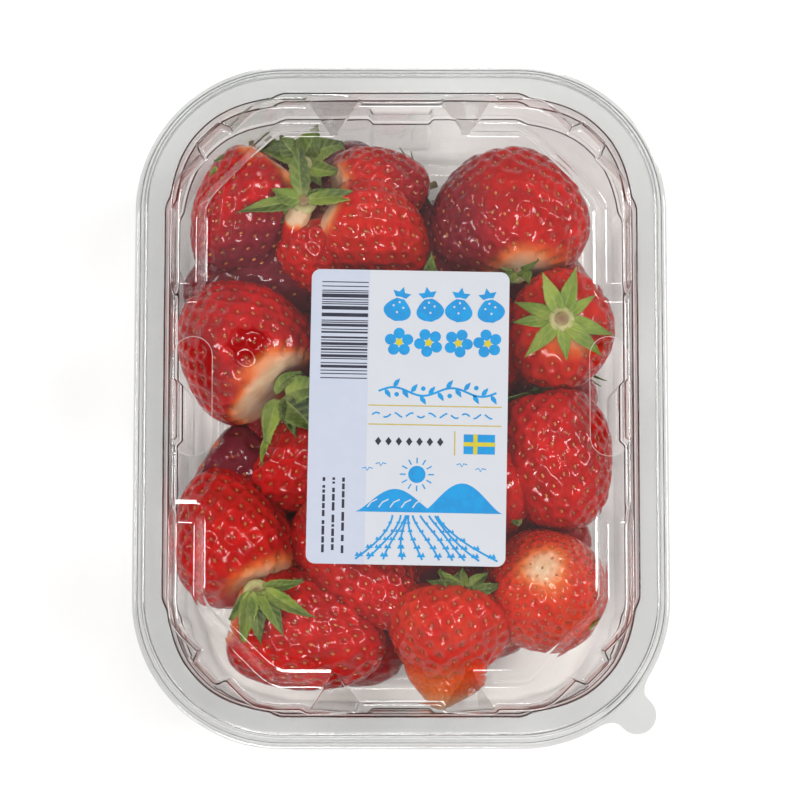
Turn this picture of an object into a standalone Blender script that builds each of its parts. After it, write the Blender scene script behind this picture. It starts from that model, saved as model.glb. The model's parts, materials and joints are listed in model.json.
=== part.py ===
"""A shut clear punnet of strawberries: tub, snap lid with a pull tab, stuck-on label, heap of berries."""
import math

import bmesh
import bpy
import numpy as np

# ---- driving dimensions, in metres; +Z is up, the long side runs along Y ----
MM = 0.001
WIDTH = 0.143
LENGTH = 0.185
CORNER_R = 0.040
SHEET = 0.0005
GAP = 0.0003

FLOOR_RAISE = 0.0020
TUB_RIM_Z = 0.0493
TUB_LIP_Z = 0.0462
TUB_LIP_IN = 0.0024
TUB_MOUTH_IN = 0.0083
TUB_MOUTH_CORNER_IN = 0.0010
TUB_FLUTE = 0.0008

LID_FOOT_Z = 0.0448
LID_LAND_Z = 0.0501
LID_PANEL_Z = 0.0510
LID_POCKET_Z = 0.0468
LID_WALL_IN = 0.0101
LID_WALL_RUN = 0.0014
LID_RIDGE_IN = 0.0167
LID_RIDGE_RUN = 0.0030
LID_CHAMFER_R = 0.0260
LID_RIDGE_R = 0.0156
LUG_OUT = 0.0030
LUG_HALF = 0.0044

LONG_FLAT = 0.0262
LONG_POCKET = 0.0322
SHORT_FLAT = 0.0106
SHORT_POCKET = 0.0262
SHORT_SLANT = 0.0064

TAB_R = 0.0051
TAB_OUT = 0.0438
TAB_THICK = 0.0005

VENT_X = 0.0552
VENT_Y = 0.0011
VENT_WIDTH = 0.0101
VENT_LENGTH = 0.0322

LABEL_WIDTH = 0.0529
LABEL_LENGTH = 0.0794
LABEL_X = 0.0019
LABEL_Y = -0.0046
LABEL_TURN = -1.07
LABEL_THICK = 0.0003

HEAP_BASE_Z = 0.0029
HEAP_VALLEY_Z = 0.0200
HEAP_SIDE_IN = 0.0062

# Each berry: middle x, y, z, length, width, turn of its axis about Z, rise of its tip (mm and degrees).
BERRIES = (
    (-40.0, 53.0, 29.5, 37.0, 30.0, -88.0, -10.0),
    (-12.5, 51.5, 30.0, 41.0, 38.0, -20.0, 8.0),
    (27.0, 51.5, 30.0, 39.0, 43.0, 100.0, 8.0),
    (42.0, 24.0, 30.5, 34.0, 30.0, 60.0, -75.0),
    (41.5, -11.5, 30.5, 38.0, 29.0, -82.0, 6.0),
    (38.0, -46.5, 30.0, 35.0, 32.0, 150.0, 48.0),
    (11.5, -62.0, 29.5, 33.0, 36.0, -95.0, 0.0),
    (-26.0, -58.0, 30.0, 41.0, 33.0, -18.0, 6.0),
    (-44.0, -32.0, 30.5, 38.0, 32.0, 108.0, 4.0),
    (-42.5, 18.5, 30.5, 38.0, 35.0, 118.0, 4.0),
    (-33.0, -10.0, 24.5, 33.0, 27.0, 70.0, 0.0),
    (-10.0, -40.0, 28.5, 36.0, 32.0, 200.0, 10.0),
    (-7.5, 16.0, 31.0, 37.0, 33.0, 30.0, 0.0),
    (20.0, 17.5, 30.0, 35.0, 28.0, -60.0, 0.0),
    (-8.0, -14.5, 30.0, 33.0, 29.0, 160.0, 0.0),
    (18.0, -21.0, 30.0, 36.0, 30.0, 10.0, 0.0),
)


def clear_scene():
    for old in list(bpy.data.objects):
        bpy.data.objects.remove(old, do_unlink=True)


def material(name, colour, rough, clear=0.0):
    made = bpy.data.materials.new(name)
    made.use_nodes = True
    shader = made.node_tree.nodes["Principled BSDF"]
    shader.inputs["Base Color"].default_value = (*colour, 1.0)
    shader.inputs["Roughness"].default_value = rough
    shader.inputs["Transmission Weight"].default_value = clear
    shader.inputs["IOR"].default_value = 1.5
    return made


def smoothstep(low, high, value):
    """0 below low, 1 above high, an S-curve between."""
    share = min(max((value - low) / (high - low), 0.0), 1.0)
    return share * share * (3.0 - 2.0 * share)


def soft_min(first, second, width):
    """The smaller of two lengths, with the corner between them rounded."""
    share = max(width - abs(first - second), 0.0) / width
    return min(first, second) - share * share * width / 4.0


def perimeter(long_stops, short_stops, corner_stops):
    """Stations anticlockwise round the rim: (corner centre, direction, kind, place along the side or angle)."""
    half_x = WIDTH / 2 - CORNER_R
    half_y = LENGTH / 2 - CORNER_R
    made = []
    for quarter in range(4):
        turn = quarter * math.pi / 2
        along_long = quarter % 2 == 0
        reach = half_y if along_long else half_x
        stops = long_stops if along_long else short_stops
        out = (math.cos(turn), math.sin(turn))
        along = (-out[1], out[0])
        centre = (abs(out[0]) * half_x, abs(out[1]) * half_y)
        for place in stops:
            x = math.copysign(centre[0], out[0]) if along_long else along[0] * place * reach
            y = math.copysign(centre[1], out[1]) if not along_long else along[1] * place * reach
            made.append(((x, y), out, "long" if along_long else "short", place * reach, along))
        corner = (half_x * (1 if quarter in (0, 3) else -1), half_y * (1 if quarter in (0, 1) else -1))
        for angle in corner_stops:
            ray = (math.cos(turn + math.radians(angle)), math.sin(turn + math.radians(angle)))
            made.append((corner, ray, "corner%d" % quarter, angle, (0.0, 0.0)))
    return made


def point(station, inset, shift=0.0):
    """The plan position of a station, inset from the rim and shifted along its side."""
    base, out, _, _, along = station
    reach = CORNER_R - inset
    return (base[0] + out[0] * reach + along[0] * shift, base[1] + out[1] * reach + along[1] * shift)


def sheet_mesh(name, rows, cap_height, paint, flip=False):
    """A Solidify sheet through rows of points, closed in the middle by one flat face."""
    mesh = bpy.data.meshes.new(name)
    shape = bmesh.new()
    rings = [[shape.verts.new(place) for place in row] for row in rows]
    count = len(rings[0])
    for lower, upper in zip(rings, rings[1:]):
        for step in range(count):
            after = (step + 1) % count
            shape.faces.new((lower[step], lower[after], upper[after], upper[step]))
    middle = shape.verts.new((0.0, 0.0, cap_height))
    for step in range(count):
        shape.faces.new((rings[-1][step], rings[-1][(step + 1) % count], middle))
    if flip:
        bmesh.ops.reverse_faces(shape, faces=shape.faces)
    shape.to_mesh(mesh)
    shape.free()
    made = bpy.data.objects.new(name, mesh)
    bpy.context.scene.collection.objects.link(made)
    made.data.materials.append(paint)
    return made


def thicken(piece, depth):
    solid = piece.modifiers.new("sheet", "SOLIDIFY")
    solid.thickness = depth
    solid.offset = -1.0
    solid.use_even_offset = True
    solid.use_rim = True


def side_depth(kind, place):
    """0 on the raised middle of a side, 1 in a corner pocket."""
    if kind == "long":
        return smoothstep(LONG_FLAT, LONG_POCKET, abs(place))
    if kind == "short":
        return smoothstep(SHORT_FLAT, SHORT_POCKET, abs(place))
    return 1.0


def lid_wall(kind, place):
    """Inset of the top of the pocket's outer wall."""
    if not kind.startswith("corner"):
        return LID_WALL_IN
    swing = math.radians(place - 45.0)
    reach = soft_min(CORNER_R - LID_WALL_IN, LID_CHAMFER_R / math.cos(swing), 0.0015)
    across = abs(LID_CHAMFER_R * math.tan(swing))
    reach += LUG_OUT * (1.0 - smoothstep(LUG_HALF - 0.0006, LUG_HALF + 0.0006, across))
    return CORNER_R - reach


def lid_ridge(kind, place, run):
    """Inset of the ridge round the raised middle, at its foot (run 0) or its top (run 1)."""
    side = LID_RIDGE_IN + LID_RIDGE_RUN * run
    if not kind.startswith("corner"):
        return side
    swing = math.radians(place - 45.0)
    diagonal = (LID_RIDGE_R + LID_RIDGE_RUN * (1.0 - run)) / math.cos(swing)
    return CORNER_R - soft_min(CORNER_R - side, diagonal, 0.0030)


def lid_slant(kind, place):
    """How far the ramp folds on the short sides lean towards the corners."""
    if kind != "short":
        return 0.0
    size = abs(place)
    if size < SHORT_FLAT:
        lean = size / SHORT_FLAT
    else:
        lean = max(0.0, 1.0 - (size - SHORT_FLAT) / (SHORT_POCKET - SHORT_FLAT))
    return math.copysign(SHORT_SLANT * lean, place)


def mirrored(sizes):
    """Places from the near end of a side to just short of its far end, alike either side of its middle."""
    return [-1.0] + [-size for size in reversed(sizes) if size > 0.0] + list(sizes)


def lid():
    corner = (0, 8, 16, 25, 31, 34.1, 36.7, 45, 53.3, 55.9, 59, 65, 74, 82)
    half_x = WIDTH / 2 - CORNER_R
    half_y = LENGTH / 2 - CORNER_R
    long_half = (0.0, 0.5 * LONG_FLAT, LONG_FLAT, 0.5 * (LONG_FLAT + LONG_POCKET), LONG_POCKET, 0.0430)
    short_half = (0.0, SHORT_FLAT, 0.5 * (SHORT_FLAT + SHORT_POCKET), SHORT_POCKET)
    long_stops = mirrored([size / half_y for size in long_half])
    short_stops = mirrored([size / half_x for size in short_half])
    stations = perimeter(long_stops, short_stops, corner)
    skirt = ((0.0, 0.0), (0.0007, 0.0), (0.0018, 0.0046), (0.0030, 0.0055), (0.0038, 0.0053))
    rows = [[(*point(spot, inset), LID_FOOT_Z + rise) for spot in stations] for inset, rise in skirt]
    for level in range(5):
        row = []
        for spot in stations:
            _, _, kind, place, _ = spot
            depth = side_depth(kind, place)
            wall = lid_wall(kind, place)
            low = LID_PANEL_Z + (LID_POCKET_Z - LID_PANEL_Z) * depth
            foot = lid_ridge(kind, place, 0.0)
            if level == 0:
                inset, height, share = wall, LID_LAND_Z, 0.0
            elif level == 1:
                inset, height, share = wall + 0.0004 + (LID_WALL_RUN - 0.0004) * depth, low, 0.1
            elif level == 2:
                inset, height, share = max(foot, wall + LID_WALL_RUN + 0.0008), low, 0.8
            elif level == 3:
                inset, height, share = lid_ridge(kind, place, 1.0), LID_PANEL_Z, 1.0
            else:
                inset, height, share = lid_ridge(kind, place, 1.0) + 0.006, LID_PANEL_Z, 0.5
            row.append((*point(spot, inset, lid_slant(kind, place) * share), height))
        rows.append(row)
    clear = material("clear_lid", (0.93, 0.95, 0.95), 0.08, 1.0)
    made = sheet_mesh("lid", rows, LID_PANEL_Z, clear)
    thicken(made, SHEET)
    add_tab(made, clear)
    cut_vents(made)
    return made


def add_tab(lid_body, paint):
    """The pull tab, fused to the skirt's foot at the corner at +X, -Y."""
    half_x = WIDTH / 2 - CORNER_R
    half_y = LENGTH / 2 - CORNER_R
    along = (math.cos(-math.pi / 4), math.sin(-math.pi / 4))
    across = (-along[1], along[0])
    outline = []
    for step in range(17):
        swing = math.radians(-90 + 180 * step / 16)
        outline.append((TAB_OUT + TAB_R * math.cos(swing), TAB_R * math.sin(swing)))
    fillet = ((0.0420, 0.0052), (0.0410, 0.0056), (0.0402, 0.0065), (0.0396, 0.0079), (0.0391, 0.0094))
    outline += list(fillet)
    outline += [(far, -wide) for far, wide in reversed(fillet)]
    shape = bmesh.new()
    loops = []
    for height in (LID_FOOT_Z - 0.0, LID_FOOT_Z + TAB_THICK):
        loop = []
        for far, wide in outline:
            x = half_x + along[0] * far + across[0] * wide
            y = -half_y + along[1] * far + across[1] * wide
            loop.append(shape.verts.new((x, y, height)))
        loops.append(loop)
    shape.faces.new(list(reversed(loops[0])))
    shape.faces.new(loops[1])
    for step in range(len(outline)):
        after = (step + 1) % len(outline)
        shape.faces.new((loops[0][step], loops[0][after], loops[1][after], loops[1][step]))
    mesh = bpy.data.meshes.new("tab_helper")
    shape.to_mesh(mesh)
    shape.free()
    helper = bpy.data.objects.new("tab_helper", mesh)
    bpy.context.scene.collection.objects.link(helper)
    helper.data.materials.append(paint)
    helper.hide_render = True
    helper.display_type = "WIRE"
    join = lid_body.modifiers.new("tab", "BOOLEAN")
    join.operation = "UNION"
    join.solver = "EXACT"
    join.object = helper


def cut_vents(lid_body):
    """A long round-ended vent through the lid beside each long side."""
    for side in (-1, 1):
        shape = bmesh.new()
        loops = []
        for height in (LID_PANEL_Z - 0.004, LID_PANEL_Z + 0.004):
            loop = []
            for end in (0, 1):
                for step in range(9):
                    swing = math.pi * (end + step / 8)
                    x = side * VENT_X + VENT_WIDTH / 2 * math.cos(swing)
                    y = VENT_Y + (VENT_LENGTH - VENT_WIDTH) / 2 * (1 - 2 * end)
                    y += VENT_WIDTH / 2 * math.sin(swing)
                    loop.append(shape.verts.new((x, y, height)))
            loops.append(loop)
        shape.faces.new(list(reversed(loops[0])))
        shape.faces.new(loops[1])
        for step in range(len(loops[0])):
            after = (step + 1) % len(loops[0])
            shape.faces.new((loops[0][step], loops[0][after], loops[1][after], loops[1][step]))
        mesh = bpy.data.meshes.new("vent_helper")
        shape.to_mesh(mesh)
        shape.free()
        helper = bpy.data.objects.new("vent_helper_%d" % (side + 1), mesh)
        bpy.context.scene.collection.objects.link(helper)
        helper.hide_render = True
        helper.display_type = "WIRE"
        cut = lid_body.modifiers.new("vent", "BOOLEAN")
        cut.operation = "DIFFERENCE"
        cut.solver = "EXACT"
        cut.object = helper


def flute(kind, place):
    """The shallow upright flutes in the tub's walls, 0 to 1."""
    if kind == "long":
        return 0.5 - 0.5 * math.cos(place / 0.0555 * math.pi * 5) if abs(place) < 0.0555 else 0.0
    if kind == "short":
        return 0.5 + 0.5 * math.cos(place / 0.0345 * math.pi * 3) if abs(place) < 0.0345 else 0.0
    return 0.0


def mouth_inset(kind, place, height):
    """Inset of the tub's mouth; its corners are set in, less so towards the floor."""
    if not kind.startswith("corner"):
        return TUB_MOUTH_IN
    edge = min(place, 90.0 - place)
    share = smoothstep(0.0, TUB_RIM_Z, height)
    return TUB_MOUTH_IN + TUB_MOUTH_CORNER_IN * share * smoothstep(0.0, 9.0, edge)


def tub():
    corner = (0, 9, 22.5, 36, 54, 67.5, 81)
    long_stops = tuple(-1 + step / 5 for step in range(10))
    short_stops = tuple(-1 + step / 3 for step in range(6))
    stations = perimeter(long_stops, short_stops, corner)
    profile = (
        (None, 0.0, TUB_LIP_Z, 0.0),
        (None, 0.0002, TUB_RIM_Z, 0.0),
        ("mouth", 0.0, TUB_RIM_Z, 0.0),
        ("mouth", 0.0005, 0.0452, 0.0),
        ("mouth", 0.0013, 0.0446, 0.0),
        ("mouth", 0.0020, 0.0380, 1.0),
        ("mouth", 0.0050, 0.0080, 1.0),
        ("mouth", 0.0062, 0.0030, 0.3),
        ("mouth", 0.0085, 0.0, 0.0),
        ("mouth", 0.0126, 0.0, 0.0),
        ("mouth", 0.0144, FLOOR_RAISE, 0.0),
    )
    rows = []
    for start, inward, height, ribbed in profile:
        row = []
        for spot in stations:
            _, _, kind, place, _ = spot
            inset = TUB_LIP_IN + inward
            if start == "mouth":
                inset = mouth_inset(kind, place, height) + inward + TUB_FLUTE * ribbed * flute(kind, place)
            lift = SHEET if height < 0.005 else 0.0
            row.append((*point(spot, inset), height + lift))
        rows.append(row)
    clear = material("clear_tub", (0.93, 0.95, 0.95), 0.08, 1.0)
    made = sheet_mesh("tub", rows, FLOOR_RAISE + SHEET, clear)
    thicken(made, SHEET)
    return made


def label():
    shape = bmesh.new()
    loops = []
    turn = math.radians(LABEL_TURN)
    radius = 0.0024
    for height in (LID_PANEL_Z + GAP, LID_PANEL_Z + GAP + LABEL_THICK):
        loop = []
        for quarter in range(4):
            cx = (LABEL_WIDTH / 2 - radius) * (1 if quarter in (0, 3) else -1)
            cy = (LABEL_LENGTH / 2 - radius) * (1 if quarter in (0, 1) else -1)
            for step in range(4):
                swing = math.radians(quarter * 90 + step * 30)
                x = cx + radius * math.cos(swing)
                y = cy + radius * math.sin(swing)
                east = LABEL_X + x * math.cos(turn) - y * math.sin(turn)
                north = LABEL_Y + x * math.sin(turn) + y * math.cos(turn)
                loop.append(shape.verts.new((east, north, height)))
        loops.append(loop)
    shape.faces.new(list(reversed(loops[0])))
    shape.faces.new(loops[1])
    for step in range(len(loops[0])):
        after = (step + 1) % len(loops[0])
        shape.faces.new((loops[0][step], loops[0][after], loops[1][after], loops[1][step]))
    mesh = bpy.data.meshes.new("label")
    shape.to_mesh(mesh)
    shape.free()
    made = bpy.data.objects.new("label", mesh)
    bpy.context.scene.collection.objects.link(made)
    made.data.materials.append(material("label_paper", (0.93, 0.93, 0.95), 0.5))
    return made


def berry_top(x, y):
    """Height of the heap at a plan position: the highest berry there."""
    best = HEAP_VALLEY_Z
    for cx, cy, cz, long_mm, wide_mm, turn, rise in BERRIES:
        axis = np.array([
            math.cos(math.radians(rise)) * math.cos(math.radians(turn)),
            math.cos(math.radians(rise)) * math.sin(math.radians(turn)),
            math.sin(math.radians(rise)),
        ])
        wide = wide_mm * MM / 2
        tall = long_mm * MM / 2
        shape = np.eye(3) / wide ** 2 + np.outer(axis, axis) * (1 / tall ** 2 - 1 / wide ** 2)
        flat = np.array([x - cx * MM, y - cy * MM, 0.0])
        a = shape[2, 2]
        b = 2 * float(shape[2] @ flat)
        c = float(flat @ shape @ flat) - 1.0
        inside = b * b - 4 * a * c
        if inside > 0:
            best = max(best, cz * MM + (-b + math.sqrt(inside)) / (2 * a))
    return best


def heap():
    long_stops = tuple(-1 + step / 5 for step in range(10))
    short_stops = tuple(-1 + step / 3 for step in range(6))
    stations = perimeter(long_stops, short_stops, (0, 18, 36, 54, 72))
    rows = []
    for inward, height in ((0.0100, HEAP_BASE_Z), (0.0082, 0.0060), (HEAP_SIDE_IN, 0.0190)):
        row = []
        for spot in stations:
            row.append((*point(spot, mouth_inset(spot[2], spot[3], height) + inward), height))
        rows.append(row)
    for share in (0.97, 0.90, 0.80, 0.70, 0.60, 0.48, 0.36, 0.24, 0.12):
        row = []
        for spot in stations:
            x, y = point(spot, mouth_inset(spot[2], spot[3], TUB_RIM_Z) + HEAP_SIDE_IN)
            edge = share > 0.95
            height = berry_top(x * share, y * share)
            row.append((x * share, y * share, min(height, 0.044 if edge else 0.0492)))
        rows.append(row)
    made = sheet_mesh("berries", rows, berry_top(0.0, 0.0), material("berry_red", (0.62, 0.03, 0.02), 0.35))
    shape = bmesh.new()
    shape.from_mesh(made.data)
    edges = [edge for edge in shape.edges if len(edge.link_faces) == 1]
    bmesh.ops.holes_fill(shape, edges=edges, sides=0)
    bmesh.ops.recalc_face_normals(shape, faces=shape.faces)
    shape.to_mesh(made.data)
    shape.free()
    return made


clear_scene()
tub()
lid()
label()
heap()
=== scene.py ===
# %% [markdown]
# # A shut punnet of strawberries
# This lesson dresses a plain imported model of a fruit punnet: a clear tub, a clear lid that snaps over its
# rim, a stuck-on label and a heap of berries. The imported model gives the sizes and places. Everything
# that is seen is made here in mesh code, with node materials, so each step can be changed and run again.

# %% Load the frame and define a helper that reads a part's box
import json
import math
import random

import bpy
import numpy as np
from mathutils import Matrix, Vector

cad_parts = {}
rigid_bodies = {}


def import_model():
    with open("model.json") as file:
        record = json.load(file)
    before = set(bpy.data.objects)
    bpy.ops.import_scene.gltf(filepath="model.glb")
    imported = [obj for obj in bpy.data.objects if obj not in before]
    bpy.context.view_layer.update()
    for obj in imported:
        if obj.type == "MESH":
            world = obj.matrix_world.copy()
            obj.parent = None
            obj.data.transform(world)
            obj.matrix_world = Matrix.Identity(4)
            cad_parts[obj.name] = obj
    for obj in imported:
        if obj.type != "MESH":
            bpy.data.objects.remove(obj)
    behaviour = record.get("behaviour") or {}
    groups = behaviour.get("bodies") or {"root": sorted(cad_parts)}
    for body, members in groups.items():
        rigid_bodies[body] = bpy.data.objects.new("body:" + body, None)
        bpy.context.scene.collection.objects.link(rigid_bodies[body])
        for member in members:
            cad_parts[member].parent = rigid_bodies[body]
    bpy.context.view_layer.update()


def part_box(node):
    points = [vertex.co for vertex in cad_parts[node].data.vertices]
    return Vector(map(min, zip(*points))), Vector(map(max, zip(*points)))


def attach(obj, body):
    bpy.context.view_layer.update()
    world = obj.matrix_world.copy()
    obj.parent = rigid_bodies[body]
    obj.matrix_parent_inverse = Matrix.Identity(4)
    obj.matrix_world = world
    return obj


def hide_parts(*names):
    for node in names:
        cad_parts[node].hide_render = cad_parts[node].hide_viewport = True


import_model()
MM = 0.001

# %% [markdown]
# ## Camera
# The pack is looked at from almost straight above, tipped a little towards the near short side, with a
# long lens. A long lens keeps the rim's sides close to parallel.

# %% Point the camera down at the lid
CAMERA_DISTANCE = 1.22
CAMERA_ELEVATION = math.radians(80.5)
FRAME_WIDTH = 0.2138
LOOK_AT = Vector((-0.00027, 0.0007, 0.047))


def aim(made, place, target):
    """Put an object at a place with its -Z axis towards the target."""
    made.location = place
    made.rotation_euler = (target - Vector(place)).to_track_quat("-Z", "Y").to_euler()


camera_data = bpy.data.cameras.new("camera")
camera = bpy.data.objects.new("camera", camera_data)
bpy.context.scene.collection.objects.link(camera)
camera_data.lens = camera_data.sensor_width * CAMERA_DISTANCE / FRAME_WIDTH
camera_data.clip_start = 0.01
reach = Vector((0.0, -math.cos(CAMERA_ELEVATION), math.sin(CAMERA_ELEVATION)))
aim(camera, LOOK_AT + reach * CAMERA_DISTANCE, LOOK_AT)
bpy.context.scene.camera = camera
bpy.context.scene.view_settings.view_transform = "Standard"
print("lens, in mm:", round(camera_data.lens, 1))

# %% [markdown]
# ## Light and floor
# A clear pack is lit by what it mirrors. The space straight above is kept dim, so that the flat lid throws
# back only a thin veil, and the light comes from soft boxes at the sides, which catch on its rounded folds.
# The ceiling is three boxes that leave a gap on the left, so the lid mirrors a dark patch there and the
# fruit below it shows its full colour. Two small boxes, a little lower, catch on the folds of two corners.

# %% Set the soft boxes and the dim surround
SURROUND = 0.06
CEILING = 1.50
CORNER_BOX = CEILING - 0.25
PACK_MIDDLE = Vector((0.0, 0.0, 0.03))
SOFT_BOXES = (
    # name, place, width, height, watts
    ("box_ceiling_far", (0.0, 0.634, CEILING), 1.60, 0.792, 0.75),
    ("box_ceiling_near", (0.373, 0.164, CEILING), 0.853, 0.148, 0.075),
    ("box_ceiling_strip", (-0.427, 0.1075, CEILING), 0.747, 0.035, 0.015),
    ("box_back", (0.03, 0.72, 1.15), 0.36, 0.18, 2.0),
    ("box_far_right", (0.47, 0.53, CORNER_BOX), 0.16, 0.16, 1.2),
    ("box_near_left", (-0.46, -0.40, CORNER_BOX), 0.16, 0.16, 1.0),
    ("box_front", (-0.18, -0.62, 1.25), 0.46, 0.34, 9.3),
    ("box_right", (1.02, 0.22, 1.00), 0.43, 0.43, 9.7),
    ("box_left", (-1.10, 0.20, 0.80), 0.27, 0.28, 5.0),
)


def soft_box(name, place, width, height, watts):
    """A rectangular area light: a ceiling box faces straight down, any other faces the pack."""
    data = bpy.data.lights.new(name, "AREA")
    data.shape = "RECTANGLE"
    data.size = width
    data.size_y = height
    data.energy = watts
    made = bpy.data.objects.new(name, data)
    bpy.context.scene.collection.objects.link(made)
    target = Vector((*place[:2], 0.0)) if "ceiling" in name else PACK_MIDDLE
    aim(made, Vector(place), target)


world = bpy.data.worlds.new("surround")
bpy.context.scene.world = world
world.use_nodes = True
background = world.node_tree.nodes["Background"]
background.inputs["Color"].default_value = (1.0, 1.0, 1.0, 1.0)
background.inputs["Strength"].default_value = SURROUND
for row in SOFT_BOXES:
    soft_box(*row)
print("soft boxes:", len(SOFT_BOXES))

# %% [markdown]
# ## Materials made of nodes
# Every material starts the same way, from the Principled shader that Blender puts in a new one. The first
# helper hands back the material with its node tree and that shader. The second adds one node with its values.

# %% Start a material and add a node
def start_material(name, colour=(0.8, 0.8, 0.8), rough=0.5):
    """A new material, with its node tree and its Principled shader."""
    made = bpy.data.materials.new(name)
    made.use_nodes = True
    tree = made.node_tree
    shader = tree.nodes["Principled BSDF"]
    shader.inputs["Base Color"].default_value = (*colour, 1.0)
    shader.inputs["Roughness"].default_value = rough
    return made, tree, shader


def add_node(tree, kind, **values):
    """A node of one kind; a value is named after its input, with spaces as underscores."""
    made = tree.nodes.new(kind)
    for name, value in values.items():
        made.inputs[name.replace("_", " ")].default_value = value
    return made


# %% [markdown]
# ## Two shared effects
# Two small node groups are built once and used by several materials. `mottle` blends two colours in soft
# patches, as on fruit skin, leaves and paper. `fine_relief` is a bump from noise, as on thin moulded sheet,
# leaf veins and paper grain. Each material gives them its own sizes.

# %% Build the shared node groups
def new_group(name, inputs, outputs):
    """An empty node group with its sockets, and its two end nodes."""
    group = bpy.data.node_groups.new(name, "ShaderNodeTree")
    for socket_name, kind, value in inputs:
        socket = group.interface.new_socket(socket_name, in_out="INPUT", socket_type=kind)
        socket.default_value = value
    for socket_name, kind in outputs:
        group.interface.new_socket(socket_name, in_out="OUTPUT", socket_type=kind)
    return group, group.nodes.new("NodeGroupInput"), group.nodes.new("NodeGroupOutput")


FLOAT, COLOUR, VECTOR = "NodeSocketFloat", "NodeSocketColor", "NodeSocketVector"

mottle, ends_in, ends_out = new_group(
    "mottle",
    (("First", COLOUR, (1, 1, 1, 1)), ("Second", COLOUR, (0, 0, 0, 1)), ("Scale", FLOAT, 100.0),
     ("Low", FLOAT, 0.4), ("High", FLOAT, 0.6)),
    (("Color", COLOUR),),
)
place = mottle.nodes.new("ShaderNodeTexCoord")
patches = add_node(mottle, "ShaderNodeTexNoise", Detail=4.0, Roughness=0.55)
spread = mottle.nodes.new("ShaderNodeMapRange")
spread.interpolation_type = "SMOOTHSTEP"
blend = mottle.nodes.new("ShaderNodeMix")
blend.data_type = "RGBA"
mottle.links.new(place.outputs["Object"], patches.inputs["Vector"])
mottle.links.new(ends_in.outputs["Scale"], patches.inputs["Scale"])
mottle.links.new(patches.outputs["Fac"], spread.inputs["Value"])
mottle.links.new(ends_in.outputs["Low"], spread.inputs["From Min"])
mottle.links.new(ends_in.outputs["High"], spread.inputs["From Max"])
mottle.links.new(spread.outputs["Result"], blend.inputs["Factor"])
mottle.links.new(ends_in.outputs["First"], blend.inputs["A"])
mottle.links.new(ends_in.outputs["Second"], blend.inputs["B"])
mottle.links.new(blend.outputs["Result"], ends_out.inputs["Color"])

fine_relief, ends_in, ends_out = new_group(
    "fine_relief",
    (("Scale", FLOAT, 300.0), ("Strength", FLOAT, 0.2), ("Depth", FLOAT, 0.0002)),
    (("Normal", VECTOR),),
)
place = fine_relief.nodes.new("ShaderNodeTexCoord")
grain = add_node(fine_relief, "ShaderNodeTexNoise", Detail=3.0, Roughness=0.5)
bump = fine_relief.nodes.new("ShaderNodeBump")
fine_relief.links.new(place.outputs["Object"], grain.inputs["Vector"])
fine_relief.links.new(ends_in.outputs["Scale"], grain.inputs["Scale"])
fine_relief.links.new(grain.outputs["Fac"], bump.inputs["Height"])
fine_relief.links.new(ends_in.outputs["Strength"], bump.inputs["Strength"])
fine_relief.links.new(ends_in.outputs["Depth"], bump.inputs["Distance"])
fine_relief.links.new(bump.outputs["Normal"], ends_out.inputs["Normal"])
print("node groups:", mottle.name, fine_relief.name)


def use_mottle(tree, first, second, scale, low=0.4, high=0.6):
    """Place the mottle group with its values set; a colour is (r, g, b)."""
    made = tree.nodes.new("ShaderNodeGroup")
    made.node_tree = mottle
    made.inputs["First"].default_value = (*first, 1.0)
    made.inputs["Second"].default_value = (*second, 1.0)
    made.inputs["Scale"].default_value = scale
    made.inputs["Low"].default_value = low
    made.inputs["High"].default_value = high
    return made


def paint_mottled(tree, shader, first, second, scale):
    """Give the shader soft patches of two colours."""
    tone = use_mottle(tree, first, second, scale)
    tree.links.new(tone.outputs["Color"], shader.inputs["Base Color"])


def use_relief(tree, shader, scale, strength, depth):
    """Place the relief group and lead it to the shader's normal."""
    made = tree.nodes.new("ShaderNodeGroup")
    made.node_tree = fine_relief
    made.inputs["Scale"].default_value = scale
    made.inputs["Strength"].default_value = strength
    made.inputs["Depth"].default_value = depth
    tree.links.new(made.outputs["Normal"], shader.inputs["Normal"])


# %% [markdown]
# The floor is one large pale square. It lies a hair below the pack, so that the two never share a plane.

# %% Lay the floor
FLOOR_DROP = 0.0002
FLOOR_HALF = 3.0
floor_material, tree, shader = start_material("floor_white", (0.93, 0.93, 0.93), 0.7)
paint_mottled(tree, shader, (0.93, 0.93, 0.93), (0.90, 0.90, 0.90), 3.0)
floor_mesh = bpy.data.meshes.new("floor")
floor_corners = [(x * FLOOR_HALF, y * FLOOR_HALF, 0) for x, y in ((-1, -1), (1, -1), (1, 1), (-1, 1))]
floor_mesh.from_pydata(floor_corners, [], [(0, 1, 2, 3)])
floor = bpy.data.objects.new("floor", floor_mesh)
floor.location.z = -FLOOR_DROP
bpy.context.scene.collection.objects.link(floor)
floor_mesh.materials.append(floor_material)
print("floor, in metres across:", 2 * FLOOR_HALF)

# %% [markdown]
# Seeds, leaves, berries and print are all made as lists of points and faces. One helper joins many of them
# into one object. It can keep a number on every point, such as how pale the skin is there, for the material.

# %% Join many shapes into one piece
def join_up(name, shapes, paint, shares=(), smooth=True):
    """One mesh object from (points, faces) shapes, with float colour shares kept on its points."""
    points = np.vstack([shape[0] for shape in shapes])
    starts = np.cumsum([0] + [len(shape[0]) for shape in shapes])
    faces = [tuple(int(corner) + start for corner in face)
             for start, shape in zip(starts, shapes) for face in shape[1]]
    mesh = bpy.data.meshes.new(name)
    mesh.from_pydata(points.tolist(), [], faces)
    mesh.polygons.foreach_set("use_smooth", [smooth] * len(mesh.polygons))
    for share in shares:
        values = np.concatenate([shape[2][share] for shape in shapes]).astype(np.float32)
        mesh.attributes.new(share, "FLOAT", "POINT").data.foreach_set("value", values)
    mesh.materials.append(paint)
    made = bpy.data.objects.new(name, mesh)
    bpy.context.scene.collection.objects.link(made)
    return made
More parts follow.
